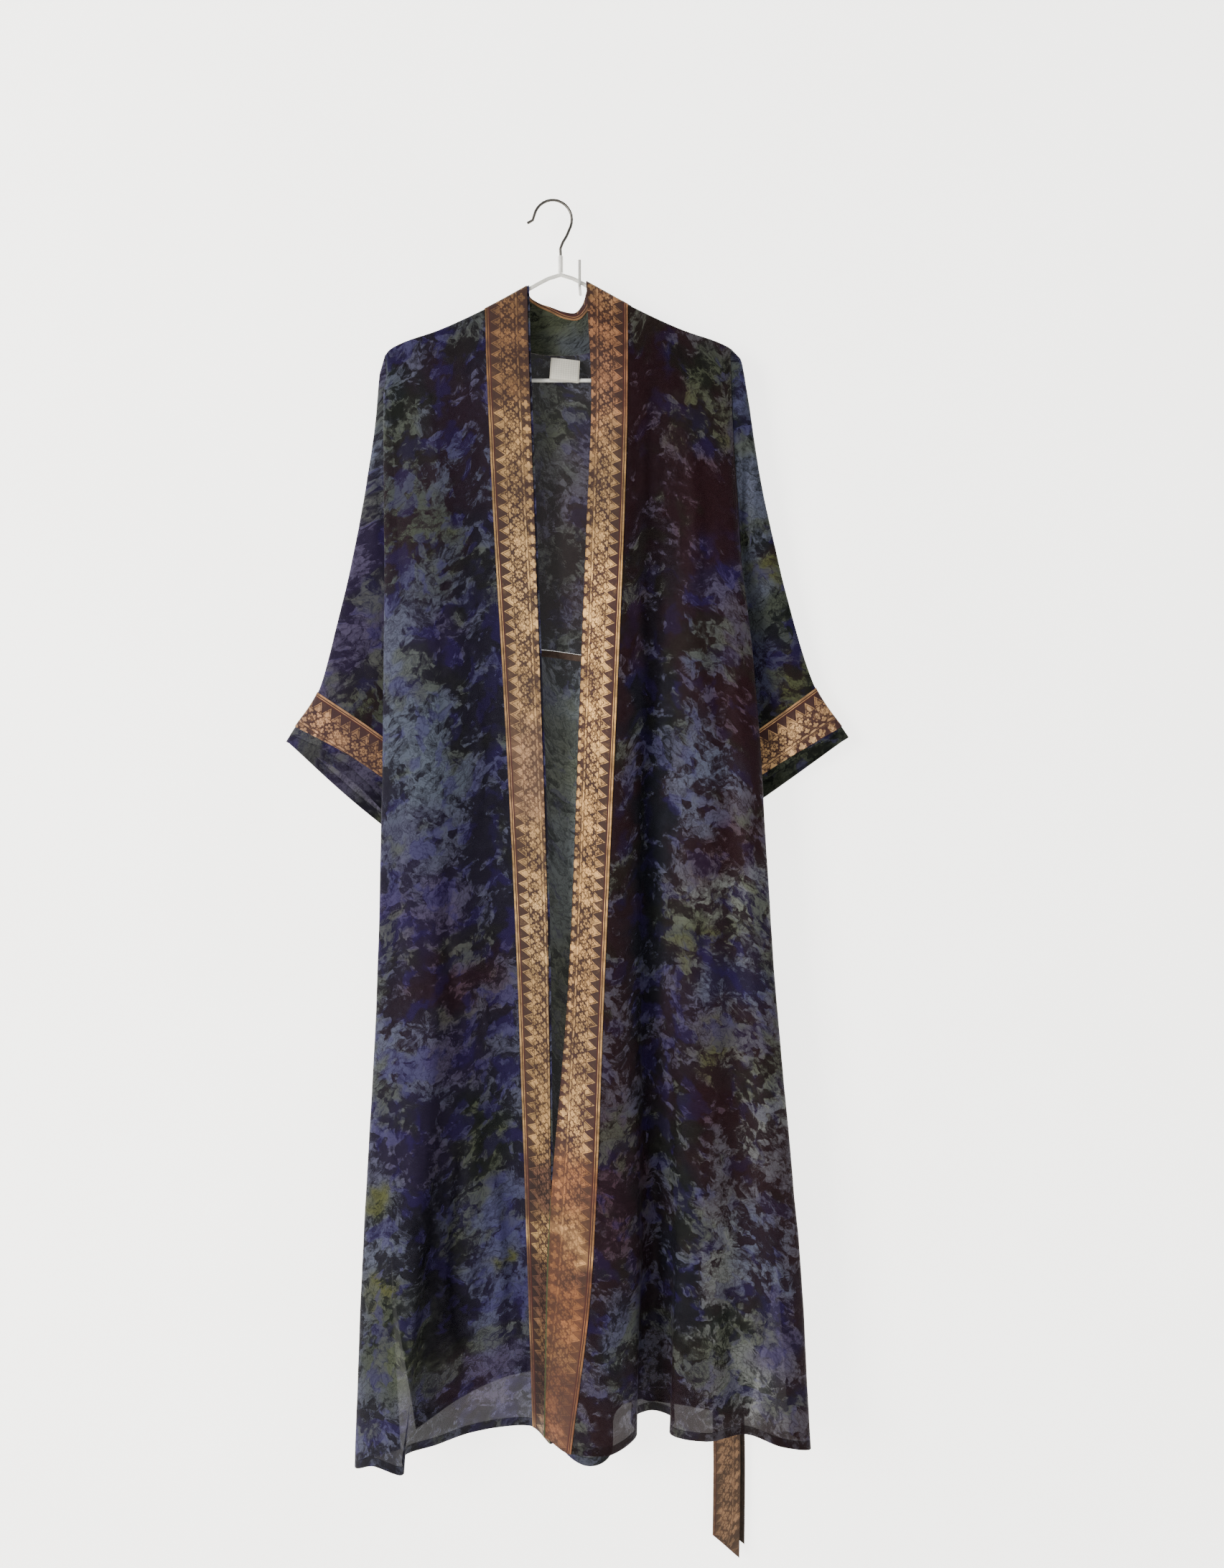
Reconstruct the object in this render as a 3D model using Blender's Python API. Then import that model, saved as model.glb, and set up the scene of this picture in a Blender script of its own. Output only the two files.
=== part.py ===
"""A long open kimono robe of thin silk with brocade borders, on a coated wire hanger.

The hanger's arm rests in an L-shaped wall hook. The origin is where that hook leaves the wall:
+X is to the right seen from the front, +Y is into the wall, +Z is up.
The tables are in millimetres. A depth is a distance from the wall towards the viewer, so y = -depth.
Left and right are as the viewer sees them.
"""

from collections import namedtuple

import bmesh
import bpy
import numpy as np

MM = 0.001

# Driving sizes
CLOTH = 1.2  # wall of the silk panels
BRAID = 1.2  # wall of the brocade borders
SEAM_GAP = 0.3  # between pieces that are sewn together
BAND_REVEAL = 2.5  # cloth that shows past a front border's inner edge
HANGER_X = -22.0  # the hanger's middle
HANGER_DEPTH = 30.0  # the hanger's plane, from the wall
ARM_RADIUS = 2.25
CREST_RADIUS = 3.2  # cloth's middle surface round the arm
CREST_DROPS = (0.0, 1.2, CREST_RADIUS, 12.0, 32.0)  # mesh rows of a panel near the shoulder line
CREST_SEAM = 0.5  # half the distance between the front's and the back's top edges
ARM_BELOW_CLOTH = 4.1  # arm's centre below the shoulder line
BAR_HEIGHT = -107.0
UNDERARM = -326.0
WAIST_SEAM = -424.0

# Shoulder line: distance from the hanger's middle, height of the cloth's middle surface
SHOULDER = (
    (0.0, 17.0),
    (15.0, 12.5),
    (32.0, 3.5),
    (88.0, -26.0),
    (142.0, -50.0),
    (188.0, -66.0),
    (200.0, -73.0),
    (206.0, -81.0),
    (212.0, -92.0),
)

# Heights at which the fold lines are placed, between the top edge and the hem
LEVELS = (-130.0, -280.0, -430.0, -800.0, -1150.0)

# A fold line runs down a panel. x and depth are given at the top edge, at each of LEVELS and at
# the hem; hem is the hem's height there, and steps the number of mesh columns up to the next line.
Fold = namedtuple("Fold", "name x depth hem steps")

FRONT_LEFT = (
    Fold(
        "side seam",
        (-226, -223.7, -215, -212, -218, -232, -222),
        (38, 36.8, 36.8, 32, 34, 42, 52),
        -1396,
        2,
    ),
    Fold("side fold", (-220, -227, -228, -230, -241, -262, -274), (40, 43, 45, 48, 56, 67, 74), -1404, 3),
    Fold("outer", (-200, -201, -199, -200, -208, -232, -248), (40, 44, 51, 57, 66, 82, 92), -1392, 3),
    Fold("corner ridge", (-172, -170, -166, -166, -170, -192, -209), (41, 46, 52, 57, 66, 88, 106), -1392, 2),
    Fold("behind corner", (-158, -156, -154, -153, -155, -180, -214), (41, 46, 51, 54, 60, 72, 86), -1386, 2),
    Fold("valley", (-146, -144, -141, -139, -139, -148, -177), (41, 45, 48, 50, 52, 54, 63), -1384, 2),
    Fold("valley floor", (-134, -131, -127, -123, -118, -116, -139), (41, 45, 46, 46, 44, 44, 52), -1376, 2),
    Fold("beside border", (-122, -119, -113, -106, -93, -84, -86), (41, 45, 45, 44, 40, 38, 46), -1370, 2),
    Fold("border outer", (-110, -106, -100, -92, -76, -66, -60), (41, 46, 45, 44, 42, 42, 44), -1372, 4),
    Fold("border inner", (-61, -57, -52, -47, -37.5, -35.5, -37), (41, 49, 52, 56, 60, 66, 70), -1378, 1),
)

FRONT_RIGHT = (
    Fold("side seam", (175, 176.6, 187, 197, 214, 238, 254), (38, 36.8, 36.8, 32, 34, 42, 58), -1372, 2),
    Fold("side fold", (166, 170, 184, 203, 230, 262, 276), (40, 41, 42, 48, 58, 70, 84), -1375, 2),
    Fold("right ridge", (154, 157, 166, 184, 210, 232, 242), (41, 43, 47, 55, 66, 82, 96), -1366, 2),
    Fold("small valley", (140, 142, 150, 165, 182, 192, 198), (41, 44, 48, 53, 60, 72, 84), -1357, 2),
    Fold("middle ridge", (127, 128, 135, 144, 152, 154, 149), (41, 45, 50, 56, 66, 84, 99), -1357, 2),
    Fold("ridge edge", (115, 115, 121, 123, 122, 116, 106), (41, 45, 49, 54, 62, 76, 87), -1353, 2),
    Fold("behind edge", (105, 104, 108, 108, 105, 107, 113), (41, 45, 47, 49, 52, 58, 66), -1350, 2),
    Fold("valley floor", (96, 95, 96, 94, 90, 90, 87), (41, 45, 46, 46, 46, 46, 48), -1349, 2),
    Fold("behind ridge", (87, 86, 85, 82, 77, 75, 60), (41, 46, 48, 50, 54, 60, 66), -1350, 2),
    Fold("front ridge", (78, 77, 74, 70, 66, 68, 67), (41, 48, 52, 58, 70, 84, 92), -1353, 3),
    Fold("beside border", (69, 68, 64, 59, 50, 46, 35), (41, 49, 54, 62, 78, 96, 105), -1370, 2),
    Fold("border outer", (60, 59, 55, 49, 33, 19, -8), (41, 50, 56, 64, 82, 99, 100), -1372, 4),
    Fold("border inner", (10, 16, 10, 4, -11, -37, -42), (41, 44, 46, 50, 60, 86, 82), -1362, 1),
)

BACK = (
    Fold(
        "left edge",
        (-226, -223.7, -215, -212, -218, -232, -205),
        (24, 24.2, 24.2, 30, 31.6, 38.4, 40),
        -1378,
        2,
    ),
    Fold("left", (-190, -186, -180, -178, -176, -176, -146), (24, 23, 23, 28, 28, 26, 22), -1345, 2),
    Fold("left middle", (-140, -137, -131, -128, -118, -104, -70), (24, 22, 21, 23, 23, 20, 17), -1318, 2),
    Fold("left neck", (-110, -110, -106, -103, -96, -84, -54), (23, 21, 21, 24, 23, 19, 16), -1320, 1),
    Fold("left neck turn", (-109.2, -104, -98, -93, -87, -75, -49), (23, 21, 21, 24, 22, 19, 17), -1324, 1),
    Fold("left neck side", (-107.8, -97, -89, -84, -77, -65, -44), (23, 21, 22, 24, 22, 19, 18), -1330, 2),
    Fold("left valley", (-88, -76, -68, -63, -58, -49, -36), (21.5, 21, 22, 24, 22, 20, 22), -1345, 2),
    Fold("ridge left", (-60, -48, -42, -38, -34, -27, -24), (19, 21, 24, 25, 28, 38, 55), -1392, 2),
    Fold("centre ridge", (-22, -16, -12, -9, -4, 3, 8), (18.5, 21, 24, 26, 32, 46, 69), -1407, 2),
    Fold("ridge right", (20, 22, 23, 24, 26, 31, 36), (19.5, 21, 24, 25, 28, 38, 57), -1400, 2),
    Fold("right valley", (42, 44, 44, 44, 44, 44, 43), (21, 21, 22, 23, 22, 21, 24), -1364, 2),
    Fold("right neck side", (57.8, 58, 57, 56, 54, 52, 50), (23, 21, 21, 23, 22, 20, 21), -1358, 1),
    Fold("right neck turn", (59.2, 65, 65, 65, 63, 60, 57), (23, 21, 21, 23, 22, 20, 20), -1356, 1),
    Fold("right neck", (60, 73, 74, 74, 73, 70, 66), (23, 21, 21, 23, 22, 20, 20), -1355, 2),
    Fold("right middle", (92, 92, 92, 92, 91, 88, 85), (24, 22, 21, 23, 22, 20, 19), -1355, 2),
    Fold("right", (135, 132, 134, 138, 142, 148, 150), (24, 23, 23, 29, 29, 27, 26), -1360, 2),
    Fold("right edge", (175, 176.6, 187, 197, 214, 238, 207), (24, 24.2, 24.2, 30, 31.6, 38.4, 34), -1366, 2),
)

# A sleeve ring is a flattened loop from the outer fold to the underarm seam. depth is its middle at
# those two ends, half its half depth, bow its bend towards the body, lift the front layer's rise
# (the rear layer hangs lower by a third of it).
# The first ring is read from the panels that the sleeve is sewn to.
Ring = namedtuple("Ring", "name outer inner depth half bow lift")

SLEEVE_LEFT = (
    Ring("armhole", (-226, -82), (-214, -326), (30, 30), 6.3, 0, 0),
    Ring("head", (-233, -97), (-220, -336), (29, 26), 7, 0, 0),
    Ring("cap", (-239, -150), (-221, -362), (28, 20), 7.5, 0, 0),
    Ring("upper arm", (-251, -225), (-219, -398), (27, 14.5), 7.5, 0, 0),
    Ring("elbow", (-267, -300), (-212, -440), (25, 10.5), 7, 0, 0),
    Ring("forearm", (-288, -385), (-204, -492), (24, 9.5), 7, 0, 0),
    Ring("border top", (-314, -470), (-198, -553), (22, 9.5), 7, 0, 2),
    Ring("border bottom", (-342, -511), (-195, -608), (20, 9.5), 7.5, 0, 8),
    Ring("hem", (-354, -529), (-196, -667), (19, 10), 8.5, 0, 22),
)

SLEEVE_RIGHT = (
    Ring("armhole", (175.4, -70), (190.5, -326), (30, 30), 6.3, 0, 0),
    Ring("head", (187, -82), (192.5, -336), (29, 26), 7, 0, 0),
    Ring("cap", (197, -130), (192, -360), (28, 20), 7.5, 0, 0),
    Ring("upper arm", (209, -205), (196, -398), (28, 14), 7.5, 0, 0),
    Ring("elbow", (228, -292), (193, -438), (26, 9.8), 7, 0, 0),
    Ring("forearm", (254, -388), (182, -488), (23, 9), 6.5, 0, 0),
    Ring("border top", (281, -465), (164, -551), (20, 8.5), 6, 0, 0),
    Ring("border bottom", (313, -511), (154, -613), (19, 8.5), 6, 0, 3),
    Ring("hem", (322, -524), (147, -650), (18, 9), 7, 0, 7),
)
BORDER_RING_TOP, BORDER_RING_BOTTOM = 6, 7
LOOP = (0.0, 0.005, 0.013, 0.048, 0.13, 0.26, 0.40, 0.55, 0.70, 0.85, 0.96, 1.0)  # share of a ring

# Neck opening's edge between the two shoulders, round the back: x, depth, height
NECK_EDGE = (
    (-59.5, 24.8, -10),
    (-50, 20, -16),
    (-34, 17.5, -21),
    (-18, 16.5, -26),
    (-5, 17, -27),
    (3, 18.5, -19),
    (8, 23.6, -7),
)
NECK_EDGE_LEFT, NECK_EDGE_RIGHT = -61.0, 10.0
NECKLINE_LEFT, NECKLINE_RIGHT = -110.0, 60.0
NECKLINE_LOW = -76.0

# Belt: one strip hung over a keeper, front half then rear half
BELT_WIDTH = 34.0
BELT_WALL = 1.8
TAPE = 1.0  # wall of the woven tape on the waist seam, and of the keeper
KEEPER_HEIGHT = -444.0
KEEPER_DEPTH = 27.7
BeltStep = namedtuple("BeltStep", "height x front rear")  # x of the front half's middle; depths
BELT = (
    BeltStep(-445, 173.5, 27.2, 22.2),
    BeltStep(-520, 175.5, 25.8, 21.8),
    BeltStep(-650, 178.5, 24.4, 20.6),
    BeltStep(-800, 179.5, 22.4, 18.6),
    BeltStep(-980, 180.5, 19.8, 16.0),
    BeltStep(-1150, 180.0, 17.0, 13.2),
    BeltStep(-1320, 180.0, 14.0, 10.0),
    BeltStep(-1450, 182.5, 12.5, 8.0),
    BeltStep(-1535, 182.0, 13.0, 8.0),
)
BELT_POINT = 30.0  # rise of the slanted end across the belt
BELT_REAR_SHIFT = 7.0

# Hanger and wall hook
HOOK_RADIUS = 1.6
HOOK_EYE = (-31.0, 75.0)
HOOK_EYE_RADIUS = 22.0
NECK_RADIUS = 2.8
NECK_TOP = 34.0
ARM_END = 180.0  # distance from the hanger's middle at which the arm starts to turn down
CORNER_RADIUS = 12.0
WALL_HOOK_RADIUS = 1.7
WALL_HOOK_PRONG = 28.0
TUBE_SIDES = 2  # bevel resolution: 8 sides


def pchip(keys, values, t):
    """Smooth curve through the keys with no overshoot, read at t."""
    keys = np.asarray(keys, float)
    values = np.asarray(values, float)
    if keys[0] > keys[-1]:
        keys, values = keys[::-1], values[::-1]
    gap = np.diff(keys)
    slope = np.diff(values) / gap
    tangent = np.zeros(len(keys))
    for i in range(1, len(keys) - 1):
        if slope[i - 1] * slope[i] > 0:
            w1 = 2 * gap[i] + gap[i - 1]
            w2 = gap[i] + 2 * gap[i - 1]
            tangent[i] = (w1 + w2) / (w1 / slope[i - 1] + w2 / slope[i])
    tangent[0], tangent[-1] = slope[0], slope[-1]
    t = np.clip(t, keys[0], keys[-1])
    i = np.clip(np.searchsorted(keys, t) - 1, 0, len(gap) - 1)
    u = (t - keys[i]) / gap[i]
    h = gap[i]
    return (
        values[i] * (1 + 2 * u) * (1 - u) ** 2
        + tangent[i] * h * u * (1 - u) ** 2
        + values[i + 1] * u**2 * (3 - 2 * u)
        + tangent[i + 1] * h * u**2 * (u - 1)
    )


def spline(points, steps):
    """Points along a smooth curve through the given ones; steps[k] intervals between k and k + 1."""
    points = np.asarray(points, float)
    chord = np.linalg.norm(np.diff(points, axis=0), axis=1) + 1e-9
    slope = np.diff(points, axis=0) / chord[:, None]
    tangent = np.empty_like(points)
    tangent[0], tangent[-1] = slope[0], slope[-1]
    before, after = chord[:-1, None], chord[1:, None]
    tangent[1:-1] = (slope[:-1] * after + slope[1:] * before) / (before + after)
    rows = []
    for k, count in enumerate(steps):
        for u in np.arange(count) / count:
            rows.append(
                points[k] * (1 + 2 * u) * (1 - u) ** 2
                + tangent[k] * chord[k] * u * (1 - u) ** 2
                + points[k + 1] * u**2 * (3 - 2 * u)
                + tangent[k + 1] * chord[k] * u**2 * (u - 1)
            )
    rows.append(points[-1])
    return np.array(rows)


def shoulder_height(x):
    reach = np.abs(np.asarray(x, float) - HANGER_X)
    return pchip([r for r, _ in SHOULDER], [z for _, z in SHOULDER], reach)


def neck_reach(x):
    """Distance from the hanger's middle, as a share of the neckline's half width on that side."""
    x = np.asarray(x, float)
    return (x - HANGER_X) / np.where(x < HANGER_X, NECKLINE_LEFT - HANGER_X, NECKLINE_RIGHT - HANGER_X)


def neckline_height(x):
    """Top edge of the back panel: the shoulder line, cut down in a U at the neck."""
    share = np.clip(neck_reach(x), 0, 1)
    edge = shoulder_height(np.where(np.asarray(x) < HANGER_X, NECKLINE_LEFT, NECKLINE_RIGHT))
    low = NECKLINE_LOW + (edge - NECKLINE_LOW) * share**3
    return np.where(share < 1, low, shoulder_height(x))


def waist_height(x):
    """The seam across the back, which the drape tilts near the middle."""
    return WAIST_SEAM - 7.0 * np.tanh((np.asarray(x, float) + 25.0) / 60.0)


def unit(v):
    return v / (np.linalg.norm(v, axis=-1, keepdims=True) + 1e-12)


def tangents(grid, axis, closed):
    """Unit tangents of a grid of points along one axis, averaged over the two sides."""
    g = np.moveaxis(grid, axis, 0)
    if closed:
        step = unit(np.roll(g, -1, 0) - g)
        mean = unit(step + np.roll(step, 1, 0))
    else:
        step = unit(np.diff(g, axis=0))
        mean = unit(np.concatenate([step[:1], step[1:] + step[:-1], step[-1:]]))
    return np.moveaxis(mean, 0, axis)


def normals(grid, closed=False):
    """Normals of a grid of (x, depth, height) rows that run downwards and columns left to right."""
    down = tangents(grid, 0, False)
    across = tangents(grid, 1, closed)
    return unit(np.cross(across, down))


def moved_out(grid, distance, closed=False):
    return grid + normals(grid, closed) * distance


def material(name, colour, roughness, metallic=0.0):
    made = bpy.data.materials.new(name)
    made.use_nodes = True
    shader = made.node_tree.nodes["Principled BSDF"]
    shader.inputs["Base Color"].default_value = (*colour, 1.0)
    shader.inputs["Roughness"].default_value = roughness
    shader.inputs["Metallic"].default_value = metallic
    made.diffuse_color = (*colour, 1.0)
    return made


def add_mesh(name, bm, finish):
    bmesh.ops.recalc_face_normals(bm, faces=bm.faces)
    mesh = bpy.data.meshes.new(name)
    bm.to_mesh(mesh)
    bm.free()
    mesh.materials.append(finish)
    mesh.shade_smooth()
    mesh.set_sharp_from_angle(angle=np.radians(50))
    made = bpy.data.objects.new(name, mesh)
    bpy.context.scene.collection.objects.link(made)
    return made


def add_wall(name, grid, thickness, finish, closed=False):
    """A closed wall of even thickness about a grid of points (x, depth, height) in millimetres."""
    half = normals(grid, closed) * thickness / 2
    bm = bmesh.new()

    def vertices(points):
        flat = points.reshape(-1, 3) * MM
        made = [bm.verts.new((x, -depth, z)) for x, depth, z in flat]
        columns = points.shape[1]
        return [made[i : i + columns] for i in range(0, len(made), columns)]

    outer, inner = vertices(grid + half), vertices(grid - half)
    rows, columns = grid.shape[:2]
    spans = columns if closed else columns - 1
    for i in range(rows - 1):
        for j in range(spans):
            k = (j + 1) % columns
            bm.faces.new((outer[i][j], outer[i][k], outer[i + 1][k], outer[i + 1][j]))
            bm.faces.new((inner[i][j], inner[i + 1][j], inner[i + 1][k], inner[i][k]))
    for i in (0, rows - 1):
        for j in range(spans):
            k = (j + 1) % columns
            bm.faces.new((outer[i][j], inner[i][j], inner[i][k], outer[i][k]))
    if not closed:
        for j in (0, columns - 1):
            for i in range(rows - 1):
                bm.faces.new((outer[i][j], outer[i + 1][j], inner[i + 1][j], inner[i][j]))
    return add_mesh(name, bm, finish)


def crest(depth, drop):
    """Depth of cloth that hangs to the given depth, drop millimetres below the top of the arm."""
    side = np.sign(depth - HANGER_DEPTH)
    turn = CREST_RADIUS * np.sqrt(1 - (1 - np.clip(drop / CREST_RADIUS, 0, 1)) ** 2)
    settle = np.clip((drop - CREST_RADIUS) / 70.0, 0, 1)
    settle = settle * settle * (3 - 2 * settle)
    hang = np.abs(depth - HANGER_DEPTH)
    return HANGER_DEPTH + side * (CREST_SEAM + turn + (hang - CREST_RADIUS - CREST_SEAM) * settle)


def row_heights(top, bottom, first_drops, count):
    """Heights of the mesh rows for each column: close together at the top, even below."""
    drops = np.asarray(first_drops, float)[:, None]
    share = (np.arange(1, count + 1) / count)[:, None]
    start = top - drops[-1]
    return np.vstack([top - drops, start + (bottom - start) * share])


def fold_points(folds, heights, steps):
    """Grid of (x, depth) from the fold lines, at the heights of each line (rows, lines)."""
    rows = []
    for row in heights:
        at = []
        for fold, z in zip(folds, row):
            keys = (heights[0][len(at)], *LEVELS, fold.hem)
            at.append((pchip(keys, fold.x, z), pchip(keys, fold.depth, z)))
        rows.append(spline(at, steps))
    return np.array(rows)


def panel_grid(folds, top_height, first_drops, count):
    """Mesh points of a panel that hangs from top_height(x) to the hem."""
    steps = [fold.steps for fold in folds[:-1]]
    line_top = np.array([float(top_height(fold.x[0])) for fold in folds])
    line_hem = np.array([float(fold.hem) for fold in folds])
    plan = fold_points(folds, row_heights(line_top, line_hem, first_drops, count), steps)
    ends = np.column_stack([[fold.x[0] for fold in folds], line_hem])
    hem = spline(ends, steps)[:, 1]
    height = row_heights(top_height(plan[0, :, 0]), hem, first_drops, count)
    return np.dstack([plan[:, :, 0], plan[:, :, 1], height])


def border_columns(folds):
    """First and last mesh column between the lines 'border outer' and 'border inner'."""
    names = [fold.name for fold in folds]
    last = names.index("border inner")
    return sum(f.steps for f in folds[: last - 1]), sum(f.steps for f in folds[:last])


def with_reveal(grid, side):
    """Adds the column of cloth that shows past the border's inner edge."""
    edge = grid[:, -1]
    past = edge + np.array([side * BAND_REVEAL, 0.0, 0.0])
    rise = shoulder_height(past[0, 0]) - shoulder_height(edge[0, 0])
    past[:, 2] += rise * np.clip(1 - (edge[0, 2] - edge[:, 2]) / 20, 0, 1)
    return np.concatenate([grid, past[:, None]], axis=1)


def ordered(grid):
    """Columns left to right, so that a panel's normal points at the viewer."""
    return grid if grid[0, 0, 0] < grid[0, -1, 0] else grid[:, ::-1]


def build_front(side_name, folds, side, cloth, brocade):
    grid = panel_grid(folds, shoulder_height, CREST_DROPS, 16)
    first, last = border_columns(folds)
    drop = grid[0, :, 2] - grid[:, :, 2]
    grid[:, :, 1] = crest(grid[:, :, 1], drop)
    full = with_reveal(grid, side)
    add_wall(f"front_{side_name}", ordered(full), CLOTH, cloth)
    lift = CLOTH / 2 + SEAM_GAP + BRAID / 2
    out = moved_out(ordered(full), lift)
    columns = slice(first, last + 1) if side > 0 else slice(-last - 2, -first - 1 or None)
    add_wall(f"front_border_{side_name}", out[:, columns], BRAID, brocade)
    return grid[:, 0]


def read_column(line, heights):
    """Points (x, depth, height) of a mesh column at other heights."""
    rising = line[::-1]
    x, depth = (np.interp(heights, rising[:, 2], rising[:, c]) for c in (0, 1))
    return np.column_stack([x, depth, heights])


def build_back(cloth, brocade):
    whole = panel_grid(BACK, neckline_height, CREST_DROPS, 24)
    hung = np.clip((np.abs(neck_reach(whole[0, :, 0])) - 0.94) / 0.06, 0, 1)
    drop = shoulder_height(whole[0, :, 0]) - whole[:, :, 2]
    whole[:, :, 1] += (crest(whole[:, :, 1], drop) - whole[:, :, 1]) * hung
    seam = waist_height(whole[0, :, 0])
    upper = row_heights(whole[0, :, 2], seam + SEAM_GAP / 2, CREST_DROPS, 5)
    lower = row_heights(seam - SEAM_GAP / 2, whole[-1, :, 2], (0.0, 8.0), 12)
    bodice, skirt = (
        np.stack([read_column(whole[:, j], rows[:, j]) for j in range(whole.shape[1])], axis=1)
        for rows in (upper, lower)
    )
    add_wall("back_upper", bodice, CLOTH, cloth)
    add_wall("back_lower", skirt, CLOTH, cloth)
    tape = moved_out(skirt, CLOTH / 2 + SEAM_GAP + TAPE / 2)
    add_wall("waist_tape", tape[:2], TAPE, brocade)
    return bodice


def armhole_loop(front_edge, back_edge, side):
    """The sleeve's first ring: the edges of the two panels, a seam's gap away."""
    top = front_edge[0, 2]
    heights = top + (UNDERARM - top) * np.array(LOOP)
    front, back = read_column(front_edge, heights), read_column(back_edge, heights)
    middle = (front + back) / 2
    behind = np.clip((top - heights) / 40.0, 0, 1) * (CLOTH + SEAM_GAP)
    front[:, 1] -= behind
    loop = np.vstack([middle[:1], front[1:-1], middle[-1:], back[-2:0:-1]])
    return loop + np.array([side * (SEAM_GAP + 0.3), 0.0, 0.0])


def sleeve_grid(rings, first_ring, rows_between):
    """Mesh points of a sleeve: a closed loop for each row, from the armhole to the hem."""
    keys = np.arange(len(rings), dtype=float)
    at = np.linspace(0, keys[-1], (len(rings) - 1) * rows_between + 1)

    def read(values):
        return pchip(keys, values, at)[:, None]

    outer_x, outer_z = read([r.outer[0] for r in rings]), read([r.outer[1] for r in rings])
    inner_x, inner_z = read([r.inner[0] for r in rings]), read([r.inner[1] for r in rings])
    outer_d, inner_d = read([r.depth[0] for r in rings]), read([r.depth[1] for r in rings])
    half, bow = read([r.half for r in rings]), read([r.bow for r in rings])
    lift = read([r.lift for r in rings])
    down, up = np.array(LOOP), np.array(LOOP[-2:0:-1])
    along = np.concatenate([down, up])
    layer = np.concatenate([np.ones(len(down)), -np.ones(len(up))])
    swell = (4 * along * (1 - along)) ** 0.3
    hump = np.sin(np.pi * along)
    x = outer_x + (inner_x - outer_x) * along + bow * hump
    z = outer_z + (inner_z - outer_z) * along + lift * hump * np.where(layer > 0, 1.0, -0.3)
    depth = outer_d + (inner_d - outer_d) * along + half * swell * layer
    grid = np.dstack([x, depth, z])
    grid[0] = first_ring
    for row in range(1, rows_between):
        grid[row] = first_ring + (grid[rows_between] - first_ring) * row / rows_between
    return grid


def build_sleeve(side_name, rings, side, edges, cloth, brocade):
    rows_between = 2
    grid = sleeve_grid(rings, armhole_loop(*edges, side), rows_between)
    if side > 0:
        grid = grid[:, ::-1]
    add_wall(f"sleeve_{side_name}", grid, CLOTH, cloth, closed=True)
    out = moved_out(grid, CLOTH / 2 + SEAM_GAP + BRAID / 2, closed=True)
    rows = slice(BORDER_RING_TOP * rows_between, BORDER_RING_BOTTOM * rows_between + 1)
    add_wall(f"sleeve_border_{side_name}", out[rows], BRAID, brocade, closed=True)


def resample(points, count):
    """Points evenly spaced along a smooth curve through the given ones."""
    fine = spline(points, [12] * (len(points) - 1))
    length = np.concatenate([[0], np.cumsum(np.linalg.norm(np.diff(fine, axis=0), axis=1))])
    at = np.linspace(0, length[-1], count)
    return np.column_stack([np.interp(at, length, fine[:, c]) for c in range(3)])


def build_neck(bodice, cloth, brocade):
    """The border round the back of the neck: its plain inner side, and the brocade behind it."""
    names = [fold.name for fold in BACK]
    start = sum(fold.steps for fold in BACK[: names.index("left neck")])
    end = sum(fold.steps for fold in BACK[: names.index("right neck")])
    edge = bodice[0, start : end + 1]
    outward = np.cross(tangents(bodice, 1, False), normals(bodice))[0, start : end + 1]
    gap = np.full((len(edge), 1), SEAM_GAP + 0.1)
    gap[1:3] = gap[-3:-1] = 1.0
    lower = edge + unit(outward) * gap * np.sign(outward[:, 2:].mean())

    def shoulder_points(x):
        drops = np.array(CREST_DROPS[:3])
        depth = crest(np.full(3, 20.0), drops)
        return np.column_stack([np.full(3, x), depth, shoulder_height(x) - drops])

    left, right = shoulder_points(NECK_EDGE_LEFT), shoulder_points(NECK_EDGE_RIGHT)[::-1]
    middle = resample(np.vstack([left[2:], NECK_EDGE, right[:1]]), len(lower) - 4)
    top = np.vstack([left[:2], middle, right[1:]])
    across = np.linspace(0, 1, 5)[:, None, None]
    grid = top + (lower - top) * across
    add_wall("neck_facing", grid, CLOTH, cloth)
    add_wall("neck_border", moved_out(grid, -(CLOTH / 2 + SEAM_GAP + BRAID / 2)), BRAID, brocade)


def build_label(finish):
    """The small sewn label, which hangs in front of the hanger's bar."""
    steps = ((-34.0, -79.0, 22.2), (-34.6, -92.0, 29.5), (-35.0, -102.0, 33.6), (-35.6, -107.5, 33.6))
    width, fall = 34.0, -3.6
    rows = []
    for x, z, depth in steps:
        rows.append([(x + width * u, depth, z + fall * u) for u in (0.0, 0.5, 1.0)])
    add_wall("label", np.array(rows), 1.0, finish)


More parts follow.
